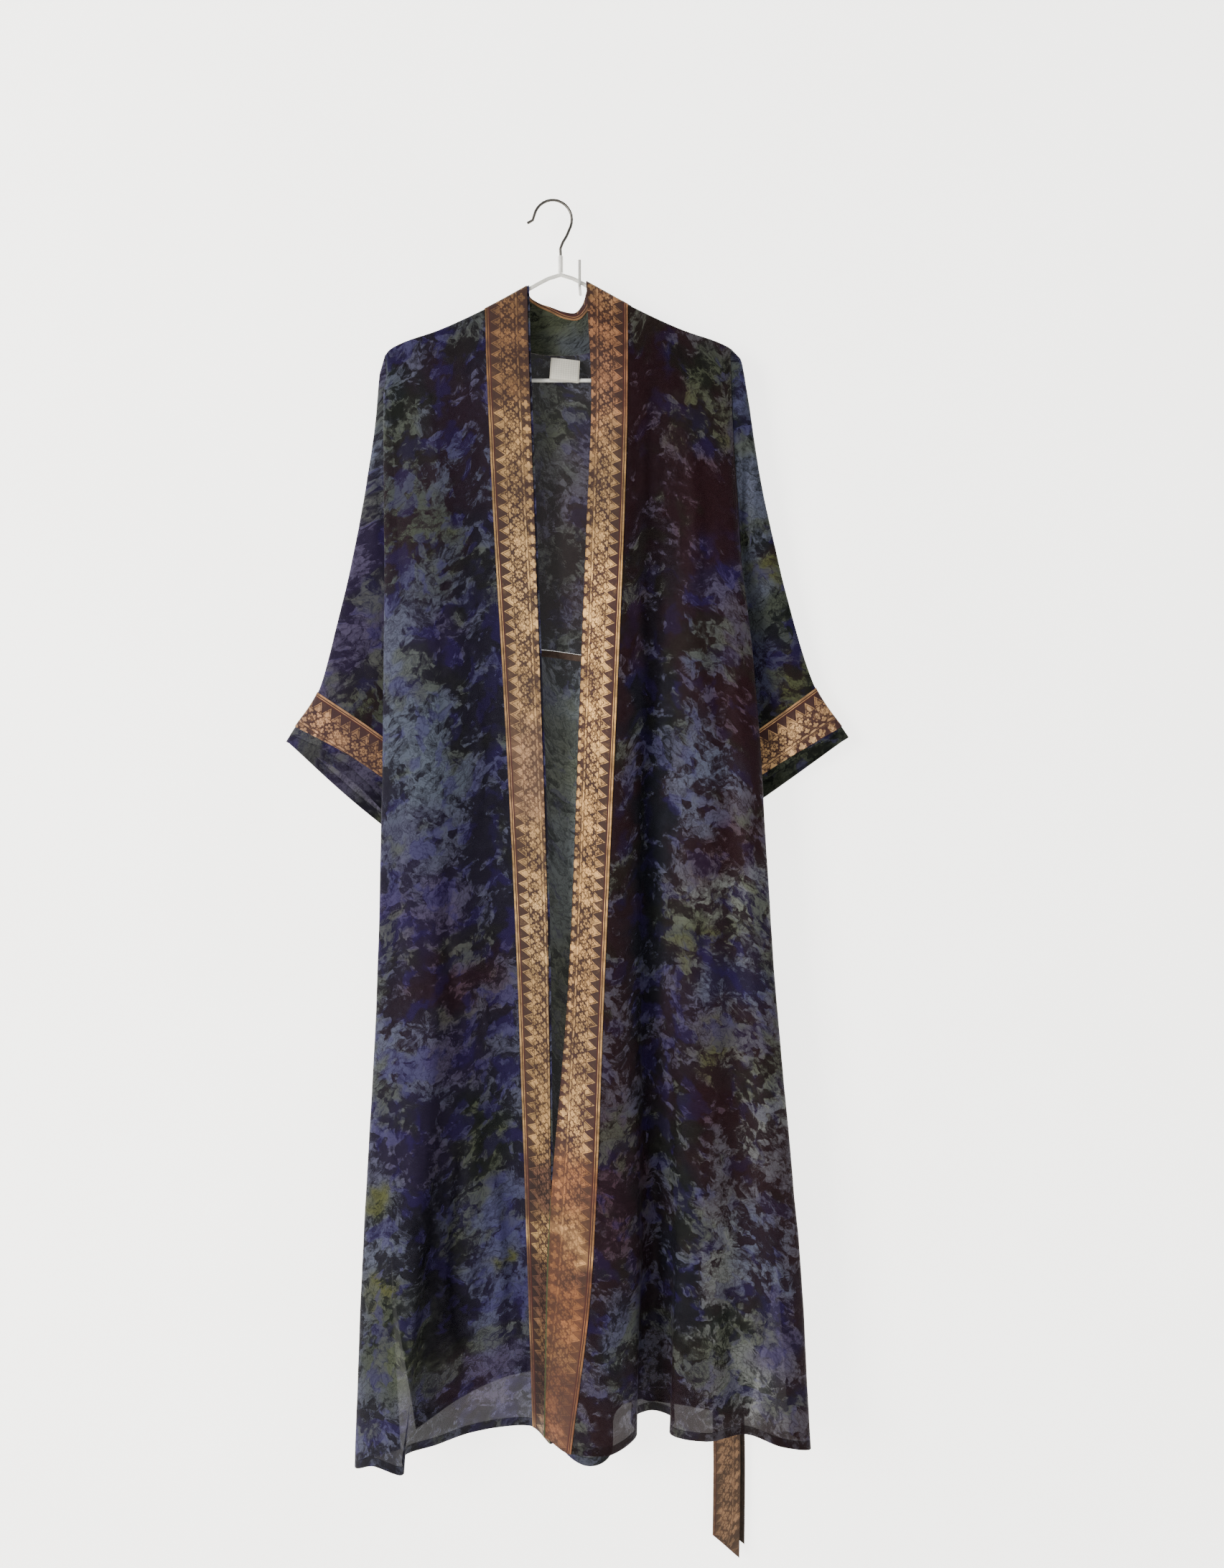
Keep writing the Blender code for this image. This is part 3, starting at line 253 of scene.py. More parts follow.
# Dye, with some ellipses that are partly or wholly painted shade and light of folds: first the colour of the
# clear parts, the colour of the veins and the percentage that is clear, then ellipses that differ, one over
# the other: x, height, half width, half height and the same three
DYES_AND_PAINTED_LIGHT = {
    "front_left": (
        (STEEL, INDIGO, 38),
        (-165, -130, 70, 60, LILAC, PLUM, 18), (-215, -130, 25, 40, SLATE, PINE, 40),
        (-205, -225, 40, 90, 0x474E4C, PINE, 52), (-150, -215, 80, 50, STEEL, PLUM, 24),
        (-210, -290, 40, 60, MOSS, PLUM, 55), (-160, -300, 30, 50, MOSS, PLUM, 30),
        # The dark ellipses at (-120, -400) and (-112, -600) are partly dye and partly painted shade down the
        # valley beside the border.
        (-120, -400, 26, 130, STEEL, INDIGO, 10), (-205, -440, 40, 70, SLATE, VIOLET, 56),
        (-160, -410, 24, 30, LILAC, VIOLET, 36), (-185, -560, 55, 90, 0x4E5562, INDIGO, 66),
        (-112, -600, 26, 150, STEEL, INDIGO, 10), (-205, -640, 40, 40, STEEL, VIOLET, 60),
        (-190, -740, 60, 60, LILAC, VIOLET, 44), (-150, -815, 60, 40, ROSE, PLUM, 30),
        (-215, -890, 40, 60, SLATE, PLUM, 56), (-150, -870, 22, 16, OLIVE, PINE, 80),
        (-150, -905, 40, 40, LILAC, VIOLET, 34), (-215, -955, 40, 30, STEEL, VIOLET, 56),
        (-180, -1020, 60, 40, LILAC, VIOLET, 32), (-115, -1010, 30, 60, MOSS, PINE, 36),
        (-230, -1130, 30, 60, SLATE, INDIGO, 52), (-245, -1085, 20, 22, OLIVE, PINE, 75),
        # The dark ellipse at (-172, -1170) is partly dye and partly painted shade of the fold; the one at
        # (-150, -1245) is painted shade on the dark side of a crease, and the light one at (-108, -1245) is
        # painted light on its lit side.
        (-172, -1170, 26, 110, INDIGO, INK, 12), (-150, -1245, 18, 60, INDIGO, INK, 5),
        (-108, -1245, 24, 50, SLATE, VIOLET, 62), (-125, -1130, 30, 40, SLATE, VIOLET, 52),
        (-88, -1150, 34, 90, BLUE, VIOLET, 62), (-92, -1160, 12, 12, OLIVE, PINE, 85),
        (-225, -1250, 40, 60, MOSS, PINE, 60), (-140, -1320, 50, 30, LILAC, PLUM, 42),
        (-90, -1310, 30, 40, LILAC, VIOLET, 50), (-235, -1185, 22, 22, OLIVE, PINE, 70),
    ),
    "front_right": (
        (0x4B4650, WINE, 38),
        (135, -95, 40, 30, MOSS, PINE, 61), (80, -120, 34, 60, ROSE, WINE, 4),
        (120, -150, 30, 30, OLIVE, PLUM, 46), (168, -172, 17, 18, OLIVE, PINE, 95),
        (146, -192, 20, 20, SLATE, INDIGO, 56), (110, -260, 70, 80, ROSE, WINE, -8),
        (155, -350, 30, 40, LILAC, VIOLET, 40), (92, -410, 50, 60, ROSE, WINE, 2),
        (140, -395, 30, 40, STEEL, WINE, 52), (120, -495, 34, 30, STEEL, PLUM, 48),
        (190, -500, 30, 60, ROSE, WINE, 18), (150, -560, 40, 40, SLATE, PLUM, 46),
        (120, -630, 30, 40, SLATE, PLUM, 52), (165, -655, 40, 30, ROSE, WINE, 26),
        (185, -730, 70, 50, MIST, PLUM, 52), (130, -760, 40, 30, OLIVE, PLUM, 56),
        # The dark strips at (85, -700) and (120, -1120) are partly dye and partly painted shade down the
        # valley.
        (185, -820, 50, 40, SLATE, VIOLET, 48), (85, -700, 24, 400, STEEL, INK, 12),
        (120, -880, 30, 60, LILAC, PLUM, 42), (160, -905, 34, 30, OLIVE, PLUM, 46),
        (210, -960, 30, 50, MIST, PLUM, 51), (150, -960, 40, 40, ROSE, WINE, 26),
        (120, -1120, 24, 160, STEEL, INK, 16), (175, -1130, 30, 50, MIST, PLUM, 44),
        (215, -1150, 30, 60, SLATE, PLUM, 48), (165, -1225, 30, 30, MIST, PINE, 48),
        (200, -1275, 34, 55, MIST, PINE, 54), (235, -1240, 22, 50, LILAC, VIOLET, 38),
        (45, -1230, 30, 70, STEEL, INDIGO, 48), (40, -1060, 30, 90, ROSE, PLUM, 38),
    ),
    "back": (
        (SLATE, PINE, 46),
        (0, -270, 900, 150, 0x4E4858, 0x1E0E16, 34), (-50, -170, 40, 60, 0x42483A, 0x12160F, 50),
        (10, -330, 40, 80, 0x4E4858, 0x220E14, 16), (-140, -250, 70, 100, LILAC, PLUM, 36),
        # The light ellipses down the middle, at (-20, -520) and (-20, -700), are partly dye and partly
        # painted light that lifts the part the fronts shade.
        (-20, -520, 80, 80, 0x6A7276, 0x20282A, 72), (-15, -590, 60, 50, 0x626850, 0x1E2418, 68),
        (-140, -600, 70, 140, STEEL, INDIGO, 44), (120, -640, 70, 130, SLATE, PLUM, 46),
        (-20, -700, 80, 90, 0x6A7276, 0x20282A, 72), (-20, -840, 80, 80, 0x646A54, 0x1E2418, 64),
        (-160, -980, 60, 120, SLATE, INDIGO, 55), (130, -980, 70, 130, LILAC, WINE, 40),
        (0, -1130, 80, 120, STEEL, VIOLET, 40), (0, -1360, 90, 50, STEEL, INK, 25),
    ),
    "sleeve_left": (
        (LILAC, VIOLET, 50),
        (-240, -180, 30, 70, SLATE, INDIGO, 44), (-240, -320, 40, 60, LILAC, VIOLET, 58),
        (-270, -400, 40, 50, LILAC, VIOLET, 56), (-235, -500, 40, 40, MOSS, PLUM, 40),
        (-270, -640, 90, 40, MOSS, PINE, 40),
    ),
    "sleeve_right": (
        (MOSS, PINE, 50),
        (188, -110, 18, 60, BLUE, VIOLET, 50), (204, -230, 20, 70, SLATE, PINE, 90),
        (206, -340, 24, 40, SLATE, INDIGO, 70), (232, -300, 16, 40, OLIVE, PLUM, 48),
        (236, -385, 30, 36, MOSS, PINE, 64), (218, -440, 34, 34, BLUE, VIOLET, 54),
        (250, -470, 30, 34, OLIVE, PLUM, 52), (230, -620, 90, 40, MOSS, PINE, 40),
    ),
    "neck_facing": (
        (0x4A4E40, PINE, 80),
        (0, -60, 30, 30, 0x4A4E54, PINE, 86),
    ),
    # On a band: the colours of its gold and of its dark thread, and how crisp its figure is
    "band_left": (
        (0x8F6F45, 0x2C1512, 62),
        (-60, -60, 900, 80, 0x624428, 0x2C1512, 60), (-60, -325, 900, 50, 0xA07E50, 0x2C1512, 90),
        (-60, -560, 900, 60, 0x7C5E42, 0x2C1512, 50), (-60, -760, 900, 60, 0x9A7A4E, 0x2C1512, 75),
        # The dark, light and dark strips at -1065, -1122 and -1185 are partly wear and partly painted shade
        # and highlight of wrinkles.
        (-60, -1065, 900, 34, 0x4E3426, 0x1C0C0C, 60), (-60, -1122, 900, 16, 0xB8945E, 0x34181A, 60),
        (-60, -1185, 900, 44, 0x4C3226, 0x1C0C0C, 60), (-60, -1310, 900, 60, 0x55392C, 0x1E0E10, 60),
    ),
    "band_right": (
        (0x8F6F45, 0x2C1512, 62),
        (30, -90, 900, 80, 0x7A5236, 0x2C1512, 62), (30, -390, 900, 80, 0xC0955C, 0x34181A, 95),
        (30, -500, 900, 50, 0xC0945A, 0x34181A, 85), (30, -640, 900, 70, 0xB08652, 0x2C1512, 75),
        (30, -800, 900, 60, 0xA67E4E, 0x2C1512, 70), (30, -960, 900, 60, 0xA07C4E, 0x34181A, 80),
        (30, -1050, 900, 40, 0x7E5230, 0x30161A, 50), (30, -1180, 900, 80, 0x764A2A, 0x341816, 45),
        # The thin light strip at -1122 and the dark spots at -1152 and -1066 are partly wear and partly
        # painted highlight and shade of wrinkles.
        (30, -1320, 900, 60, 0x683F26, 0x2E1416, 40), (30, -1122, 900, 9, 0xB48654, 0x34181A, 40),
        (24, -1152, 34, 16, 0x543426, 0x1C0C0C, 45), (40, -1066, 40, 18, 0x5E3A28, 0x1C0C0C, 45),
    ),
    "cuff": (
        (0x84603F, 0x2C1216, 64),
        (-300, -530, 60, 50, 0x9A7250, 0x2E1216, 75), (250, -550, 80, 60, 0xBC9466, 0x34161A, 90),
        (170, -590, 26, 40, 0x7A5238, 0x34161A, 45),
    ),
    "belt": ((0x6A4E36, 0x241510, 50),),
}
SHEER = (1180, 1290)  # drops where silk starts to let the wall through and where it is sheer
SHEER_SIDES = (210, 222)  # distances from the middle over which that ends
EDGING = (1040, 1130)  # drops where the green facing starts to show along a border, and shows wholly

# In metres
HEM_FOLD = 0.0105  # width of the turned hem
PATTERN = 0.055  # width of the band that the brocade is drawn on
FLOOR = -1.72
STAGE = 9.0  # half the width of the wall and of the floor
STAGE_TOP = 4.0

# Fitted to the photo
PHOTO_SIZE = (1705, 2184)
CAMERA_PLACE = (0.0375, -1.49, -0.4714)
CAMERA_PITCH = 4.23  # degrees downwards
SENSOR = 36.0


def ramp(value, low, high):
    """0 below low, 1 above high and even between."""
    return np.clip((value - low) / (high - low), 0, 1)


def hermite(start, end, leave, arrive, u):
    """Cubic from start to end; leave and arrive are its slopes there."""
    return (
        start * (1 + 2 * u) * (1 - u) ** 2
        + leave * u * (1 - u) ** 2
        + end * u**2 * (3 - 2 * u)
        + arrive * u**2 * (u - 1)
    )


def pchip(keys, values, t):
    """Smooth curve through the keys with no overshoot, read at t."""
    keys, values = np.asarray(keys, float), np.asarray(values, float)
    if keys[0] > keys[-1]:
        keys, values = keys[::-1], values[::-1]
    gap = np.diff(keys)
    slope = np.diff(values) / gap
    tangent = np.zeros(len(keys))
    for i in range(1, len(keys) - 1):
        if slope[i - 1] * slope[i] > 0:
            w1 = 2 * gap[i] + gap[i - 1]
            w2 = gap[i] + 2 * gap[i - 1]
            tangent[i] = (w1 + w2) / (w1 / slope[i - 1] + w2 / slope[i])
    tangent[0], tangent[-1] = slope[0], slope[-1]
    t = np.clip(t, keys[0], keys[-1])
    i = np.clip(np.searchsorted(keys, t) - 1, 0, len(gap) - 1)
    u = (t - keys[i]) / gap[i]
    return hermite(values[i], values[i + 1], tangent[i] * gap[i], tangent[i + 1] * gap[i], u)


def spline(points, steps):
    """Points along a smooth curve through the given ones; steps[k] intervals between k and k + 1."""
    points = np.asarray(points, float)
    chord = np.linalg.norm(np.diff(points, axis=0), axis=1) + 1e-9
    slope = np.diff(points, axis=0) / chord[:, None]
    before, after = chord[:-1, None], chord[1:, None]
    middle = (slope[:-1] * after + slope[1:] * before) / (before + after)
    tangent = np.concatenate([slope[:1], middle, slope[-1:]])
    rows = []
    for k, count in enumerate(steps):
        u = (np.arange(count) / count)[:, None]
        rows.append(hermite(points[k], points[k + 1], tangent[k] * chord[k], tangent[k + 1] * chord[k], u))
    rows.append(points[-1:])
    return np.vstack(rows)


def shoulder_height(x):
    return pchip(*SHOULDER, np.abs(np.asarray(x, float) - HANGER_X))


def neck_reach(x):
    """0 at the hanger's middle and 1 at both ends of the neckline."""
    x = np.asarray(x, float)
    return (x - HANGER_X) / np.where(x < HANGER_X, NECKLINE_LEFT - HANGER_X, NECKLINE_RIGHT - HANGER_X)


def neckline_height(x):
    share = np.clip(neck_reach(x), 0, 1)
    edge = shoulder_height(np.where(np.asarray(x) < HANGER_X, NECKLINE_LEFT, NECKLINE_RIGHT))
    low = NECKLINE_LOW + (edge - NECKLINE_LOW) * share**3
    return np.where(share < 1, low, shoulder_height(x))


def waist_height(x):
    """The waist seam hangs 7 mm above its middle height at the left and 7 mm below it at the right."""
    return WAIST_SEAM - 7.0 * np.tanh((np.asarray(x, float) + 25.0) / 60.0)


def unit(v):
    return v / (np.linalg.norm(v, axis=-1, keepdims=True) + 1e-12)


def tangents(grid, axis, closed=False):
    """Unit vectors along the columns (axis 0) or the rows (axis 1) of a grid."""
    g = np.moveaxis(grid, axis, 0)
    if closed:
        step = unit(np.roll(g, -1, 0) - g)
        mean = unit(step + np.roll(step, 1, 0))
    else:
        step = unit(np.diff(g, axis=0))
        mean = unit(np.concatenate([step[:1], step[1:] + step[:-1], step[-1:]]))
    return np.moveaxis(mean, 0, axis)


def normals(grid, closed=False):
    """Normals of a grid of (x, depth, height); rows run downwards and columns left to right."""
    return unit(np.cross(tangents(grid, 1, closed), tangents(grid, 0)))


def moved_out(grid, distance, closed=False):
    return grid + normals(grid, closed) * distance


def crest(depth, drop):
    """Depth of a panel that turns over the hanger's wire, at a drop below it."""
    side = np.sign(depth - HANGER_DEPTH)
    turn = CREST_RADIUS * np.sqrt(1 - (1 - np.clip(drop / CREST_RADIUS, 0, 1)) ** 2)
    settle = ramp(drop, CREST_RADIUS, CREST_SETTLE)
    settle = settle * settle * (3 - 2 * settle)
    hang = np.abs(depth - HANGER_DEPTH)
    return HANGER_DEPTH + side * (CREST_SEAM + turn + (hang - CREST_RADIUS - CREST_SEAM) * settle)


def row_heights(top, bottom, first_drops, count):
    """Heights of a panel's rows: at the first drops, then count even steps to the bottom."""
    drops = np.asarray(first_drops, float)[:, None]
    share = (np.arange(1, count + 1) / count)[:, None]
    start = top - drops[-1]
    return np.vstack([top - drops, start + (bottom - start) * share])


def panel_grid(folds, top_height, count):
    """Grid of (x, depth, height) of a panel between its top edge and its hem."""
    steps = [fold.steps for fold in folds[:-1]]
    line_top = np.array([float(top_height(fold.x[0])) for fold in folds])
    line_hem = np.array([float(fold.hem) for fold in folds])
    heights = row_heights(line_top, line_hem, CREST_DROPS, count)
    lines = []
    for k, fold in enumerate(folds):
        keys = (line_top[k], *LEVELS, fold.hem)
        lines.append(np.column_stack([pchip(keys, values, heights[:, k]) for values in (fold.x, fold.depth)]))
    plan = np.array([spline(row, steps) for row in np.stack(lines, axis=1)])
    ends = np.column_stack([[fold.x[0] for fold in folds], line_hem])
    hem = spline(ends, steps)[:, 1]
    return np.dstack([plan, row_heights(top_height(plan[0, :, 0]), hem, CREST_DROPS, count)])


def with_reveal(grid, side):
    """The grid with one more column, past the border's inner edge."""
    edge = grid[:, -1]
    past = edge + np.array([side * BAND_REVEAL, 0.0, 0.0])
    rise = shoulder_height(past[0, 0]) - shoulder_height(edge[0, 0])
    past[:, 2] += rise * (1 - ramp(edge[0, 2] - edge[:, 2], 0, 20))
    return np.concatenate([grid, past[:, None]], axis=1)


def read_column(line, heights):
    """Points at the heights on a line that runs downwards."""
    rising = line[::-1]
    x, depth = (np.interp(heights, rising[:, 2], rising[:, c]) for c in (0, 1))
    return np.column_stack([x, depth, heights])


def resample(points, count):
    """Evenly spaced points along a smooth curve through the given ones."""
    fine = spline(points, [12] * (len(points) - 1))
    length = np.concatenate([[0], np.cumsum(np.linalg.norm(np.diff(fine, axis=0), axis=1))])
    at = np.linspace(0, length[-1], count)
    return np.column_stack([np.interp(at, length, fine[:, c]) for c in range(3)])


def wavy(points, wavelength, seed):
    """Smooth noise from about -1 to 1 at points of (x, depth, height)."""
    flat = points.reshape(-1, 3) / wavelength
    values = [noise.noise(Vector((x + seed, depth * 0.5, z * 0.6))) for x, depth, z in flat]
    return np.array(values).reshape(points.shape[:-1])


def creased(grid, name, fade, closed=False):
    """The grid with its creases and a slight unevenness; fade is 0 where it has to stay."""
    lift = np.zeros(grid.shape[:2])
    for x0, z0, x1, z1, width, height in CREASES[name]:
        run = np.array([x1 - x0, z1 - z0], float)
        off_x, off_z = grid[..., 0] - x0, grid[..., 2] - z0
        along = (off_x * run[0] + off_z * run[1]) / (run @ run)
        nearest = np.clip(along, 0, 1)
        arch = np.sin(np.pi * nearest)
        bend = 0.05 * np.linalg.norm(run) * arch * np.sign(height)
        away = (off_x - nearest * run[0] - bend) ** 2 + (off_z - nearest * run[1]) ** 2
        lift += height * np.exp(-away / (width * (0.7 + 0.6 * nearest)) ** 2) * arch**0.7
    lift += 0.5 * wavy(grid, 42.0, len(name)) + 0.16 * wavy(grid, 15.0, 7.0)
    return grid + normals(grid, closed) * (lift * fade)[..., None]


def linear(colour):
    """A colour 0xRRGGBB as linear red, green and blue."""
    parts = np.array([(colour >> 16) & 255, (colour >> 8) & 255, colour & 255]) / 255
    return np.where(parts > 0.04045, ((parts + 0.055) / 1.055) ** 2.4, parts / 12.92)


def dyed(points, name):
    """Clear colour, vein colour and clear share at points of (x, depth, height)."""
    flat = points.reshape(-1, 3)
    warp = 0
    for size, scale in ((1.0, 0.028), (0.45, 0.09)):
        warp += size * np.array([tuple(noise.noise_vector(Vector((x, z, d)) * scale)) for x, d, z in flat])
    x = flat[:, 0] + 26 * warp[:, 0]
    z = flat[:, 2] + 34 * warp[:, 1]
    base, *patches = DYES_AND_PAINTED_LIGHT[name]
    clear, vein = (np.tile(linear(colour), (len(flat), 1)) for colour in base[:2])
    share = np.full(len(flat), base[2] / 100)
    for middle_x, middle_z, reach_x, reach_z, patch_clear, patch_vein, patch_share in patches:
        away = ((x - middle_x) / reach_x) ** 2 + ((z - middle_z) / reach_z) ** 2
        inside = 1 / (1 + np.clip(away, 0, 40) ** 2.2)
        clear += (linear(patch_clear) - clear) * inside[:, None]
        vein += (linear(patch_vein) - vein) * inside[:, None]
        share += (patch_share / 100 - share) * inside
    return clear, vein, share


def arc_lengths(grid, axis):
    """Distance along the rows or columns, in metres."""
    step = np.linalg.norm(np.diff(grid, axis=axis), axis=2)
    zero = np.zeros_like(step[:1] if axis == 0 else step[:, :1])
    return np.cumsum(np.concatenate([zero, step], axis=axis), axis=axis) * MM


def shell_faces(rows, columns, closed):
    """Quads of a thin shell: the side of its grid's normals, the other side, then its rim."""
    index = np.arange(rows * columns).reshape(rows, columns)
    if closed:
        index = np.concatenate([index, index[:, :1]], axis=1)
    behind = rows * columns

    def quads(*corners):
        return np.column_stack([corner.ravel() for corner in corners])

    a, b, c, d = index[:-1, :-1], index[:-1, 1:], index[1:, 1:], index[1:, :-1]
    faces = [quads(a, d, c, b), quads(a, b, c, d) + behind]
    for line, forward in ((index[0], True), (index[-1], False), (index[:, 0], False), (index[:, -1], True)):
        p, q = line[:-1], line[1:]
        faces.append(quads(p, q, q + behind, p + behind) if forward else quads(p, p + behind, q + behind, q))
    return np.concatenate(faces[:4] if closed else faces)


def cut_of(grid, closed, flip_u, turned):
    """Where each point lies on the flat cut, across and up from the hem, in metres.

    Where the cut is turned, its first number runs down from the top and its second one across.
    """
    if closed:
        # A tube is pressed flat, so its cut is measured along its hem and square to it
        flat = grid[..., (0, 2)] * MM
        hem = unit(flat[-1, flat[-1, :, 0].argmax()] - flat[-1, flat[-1, :, 0].argmin()])
        square = flat @ np.array([-hem[1], hem[0]])
        across, up = flat @ hem, square - square[-1:]
    else:
        across, down = arc_lengths(grid, 1), arc_lengths(grid, 0)
        up = down[-1:] - down
    if flip_u:
        across = across[:, -1:] - across
    return (up[:1] - up, across) if turned else (across, up)


def add_dye(mesh, grid, dye, across):
    """Colours of the clear parts and of the veins.

    The first one's alpha is the clear share. The second one's alpha grows low down, on the inner edge
    of a front's border, where its facing shows, and on silk, where it is sheer.
    """
    clear, vein, share = dyed(grid, dye)
    x, z = grid[..., 0], grid[..., 2]
    grows = np.zeros(x.shape)
    if dye.startswith("band"):
        inner = across == across.max(axis=1, keepdims=True)
        grows = inner * ramp(-z, *EDGING)
    elif dye != "belt":
        grows = ramp(-z, *SHEER) * (1 - ramp(np.abs(x), *SHEER_SIDES))
    for label, colour, alpha in (("clear", clear, share), ("vein", vein, grows.ravel())):
        values = np.column_stack([colour, alpha])
        attribute = mesh.color_attributes.new(name=label, type="FLOAT_COLOR", domain="POINT")
        attribute.data.foreach_set("color", np.concatenate([values, values]).ravel())


def placed(name, data):
    made = bpy.data.objects.new(name, data)
    bpy.context.scene.collection.objects.link(made)
    return made


def add_sheet(
    node, kind, grid, wall, finish,
    closed=False, dye=None, flip_u=False, shift=(0.0, 0.0), turned=False,
):
    """A thin closed shell about a grid of points, in place of a node of the solids.

    Its UV map is its cut plus shift. Of a pair of finishes, the second is on the side of the normals.
    """
    rows, columns = grid.shape[:2]
    half = normals(grid, closed) * wall / 2
    points = np.concatenate([(grid + half).reshape(-1, 3), (grid - half).reshape(-1, 3)])
    faces = shell_faces(rows, columns, closed)
    name = f"{node}_{kind}"
    mesh = bpy.data.meshes.new(name)
    mesh.from_pydata((points * (MM, -MM, MM)).tolist(), [], faces.tolist())
    behind, before = finish if isinstance(finish, tuple) else (finish, None)
    if before:
        mesh.materials.append(before)
        side = (rows - 1) * (columns if closed else columns - 1)
        slots = np.zeros(len(faces), dtype=np.int32)
        slots[side : 2 * side] = 1
        mesh.polygons.foreach_set("material_index", slots)
    bm = bmesh.new()
    bm.from_mesh(mesh)
    bmesh.ops.recalc_face_normals(bm, faces=bm.faces)
    bm.to_mesh(mesh)
    bm.free()
    u, v = cut_of(grid, closed, flip_u, turned)
    uv = np.column_stack([u.ravel() + shift[0], v.ravel() + shift[1]])
    loops = np.empty(len(mesh.loops), dtype=np.int32)
    mesh.loops.foreach_get("vertex_index", loops)
    mesh.uv_layers.new(name="cut").data.foreach_set("uv", np.concatenate([uv, uv])[loops].ravel())
    if dye:
        add_dye(mesh, grid, dye, u)
    mesh.materials.append(behind)
    mesh.shade_smooth()
    mesh.set_sharp_from_angle(angle=np.radians(60))
    made = placed(name, mesh)
    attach(made, "root")
    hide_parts(node)
    return made


class Field:
    """A number at each point of a surface, made by shader nodes."""

    def __init__(self, graph, socket):
        self.graph = graph
        self.socket = socket

    def maths(self, operation, *others):
        return Field(self.graph, self.graph.node("Math", self, *others, operation=operation).outputs[0])

    __add__ = partialmethod(maths, "ADD")
    __sub__ = partialmethod(maths, "SUBTRACT")
    __mul__ = partialmethod(maths, "MULTIPLY")
    __truediv__ = partialmethod(maths, "DIVIDE")
    abs = partialmethod(maths, "ABSOLUTE")
    fract = partialmethod(maths, "FRACT")

    def most(self, *others):
        top = self
        for other in others:
            top = top.maths("MAXIMUM", other)
        return top

    def ramp(self, low, high):
        """0 below low, 1 above high, smooth between; the other way round where low > high."""
        ends = (low, high, 0.0, 1.0) if low < high else (high, low, 1.0, 0.0)
        node = self.graph.node("MapRange", self, *ends, interpolation_type="SMOOTHSTEP")
        return Field(self.graph, node.outputs[0])

    def from_middle(self, period):
        """How far through each period, from -0.5 to 0.5."""
        return (self / period).fract() - 0.5


class Graph:
    """The nodes of one material."""

    def __init__(self, name):
        self.made = bpy.data.materials.new(name)
        self.made.use_nodes = True
        self.tree = self.made.node_tree
        self.shader = self.tree.nodes["Principled BSDF"]

    def put(self, socket, value):
        source = value.socket if isinstance(value, Field) else value
        if isinstance(source, bpy.types.NodeSocket):
            self.tree.links.new(source, socket)
        else:
            socket.default_value = value

    def node(self, kind, *inputs, **named):
        """A shader node, with its inputs in order or by name, and settings in small letters."""
        node = self.tree.nodes.new("ShaderNode" + kind)
        for key, value in named.items():
            if key.islower():
                setattr(node, key, value)
            else:
                self.put(node.inputs[key], value)
        for key, value in enumerate(inputs):
            self.put(node.inputs[key], value)
        return node

    def split(self, vector):
        """The three parts of a vector or a colour."""
        return [Field(self, part) for part in self.node("SeparateXYZ", vector).outputs]

    def cut(self):
        cut = self.node("UVMap", uv_map="cut").outputs[0]
        return (cut, *self.split(cut)[:2])

    def place(self):
        return self.node("TexCoord").outputs["Object"]

    def vector(self, x, y, z=0.0):
        return self.node("CombineXYZ", x, y, z).outputs[0]

    def shift(self, a, b, amount):
        """The vector a plus amount times the vector b."""
        return self.node("VectorMath", b, (amount, amount, amount), a, operation="MULTIPLY_ADD").outputs[0]

    def noise(self, vector, scale, detail=3.0, roughness=0.55, colour=False, flat=True):
        values = {"Vector": vector, "Scale": scale, "Detail": detail, "Roughness": roughness}
        node = self.node("TexNoise", noise_dimensions="2D" if flat else "3D", **values)
        return node.outputs["Color"] if colour else Field(self, node.outputs["Fac"])

    def voronoi(self, vector, scale, feature="F1"):
        return self.node("TexVoronoi", voronoi_dimensions="2D", feature=feature, Vector=vector, Scale=scale)

    def cells(self, vector, scale):
        """A random number in each cell of a flat pattern, and the distance to the cell's edge."""
        tint = self.split(self.voronoi(vector, scale).outputs["Color"])[0]
        edge = self.voronoi(vector, scale, "DISTANCE_TO_EDGE")
        return tint, Field(self, edge.outputs["Distance"])

    def attribute(self, name):
        node = self.node("Attribute", attribute_name=name)
        return node.outputs["Color"], Field(self, node.outputs["Alpha"])

    def mix(self, factor, a, b):
        node = self.node("Mix", data_type="RGBA", Factor=factor)
        for socket, value in zip(node.inputs[6:8], (a, b)):
            self.put(socket, (*linear(value), 1.0) if isinstance(value, int) else value)
        return node.outputs[2]

    def darker(self, colour, factor):
        return self.node("VectorMath", colour, operation="SCALE", Scale=factor).outputs[0]

    def bump(self, height, distance, strength=1.0):
        node = self.node("Bump", Strength=strength, Distance=distance, Height=height)
        self.put(self.shader.inputs["Normal"], node.outputs[0])

    def finish(self, **values):
        for key, value in values.items():
            self.put(self.shader.inputs[key.replace("_", " ")], value)
        return self.made


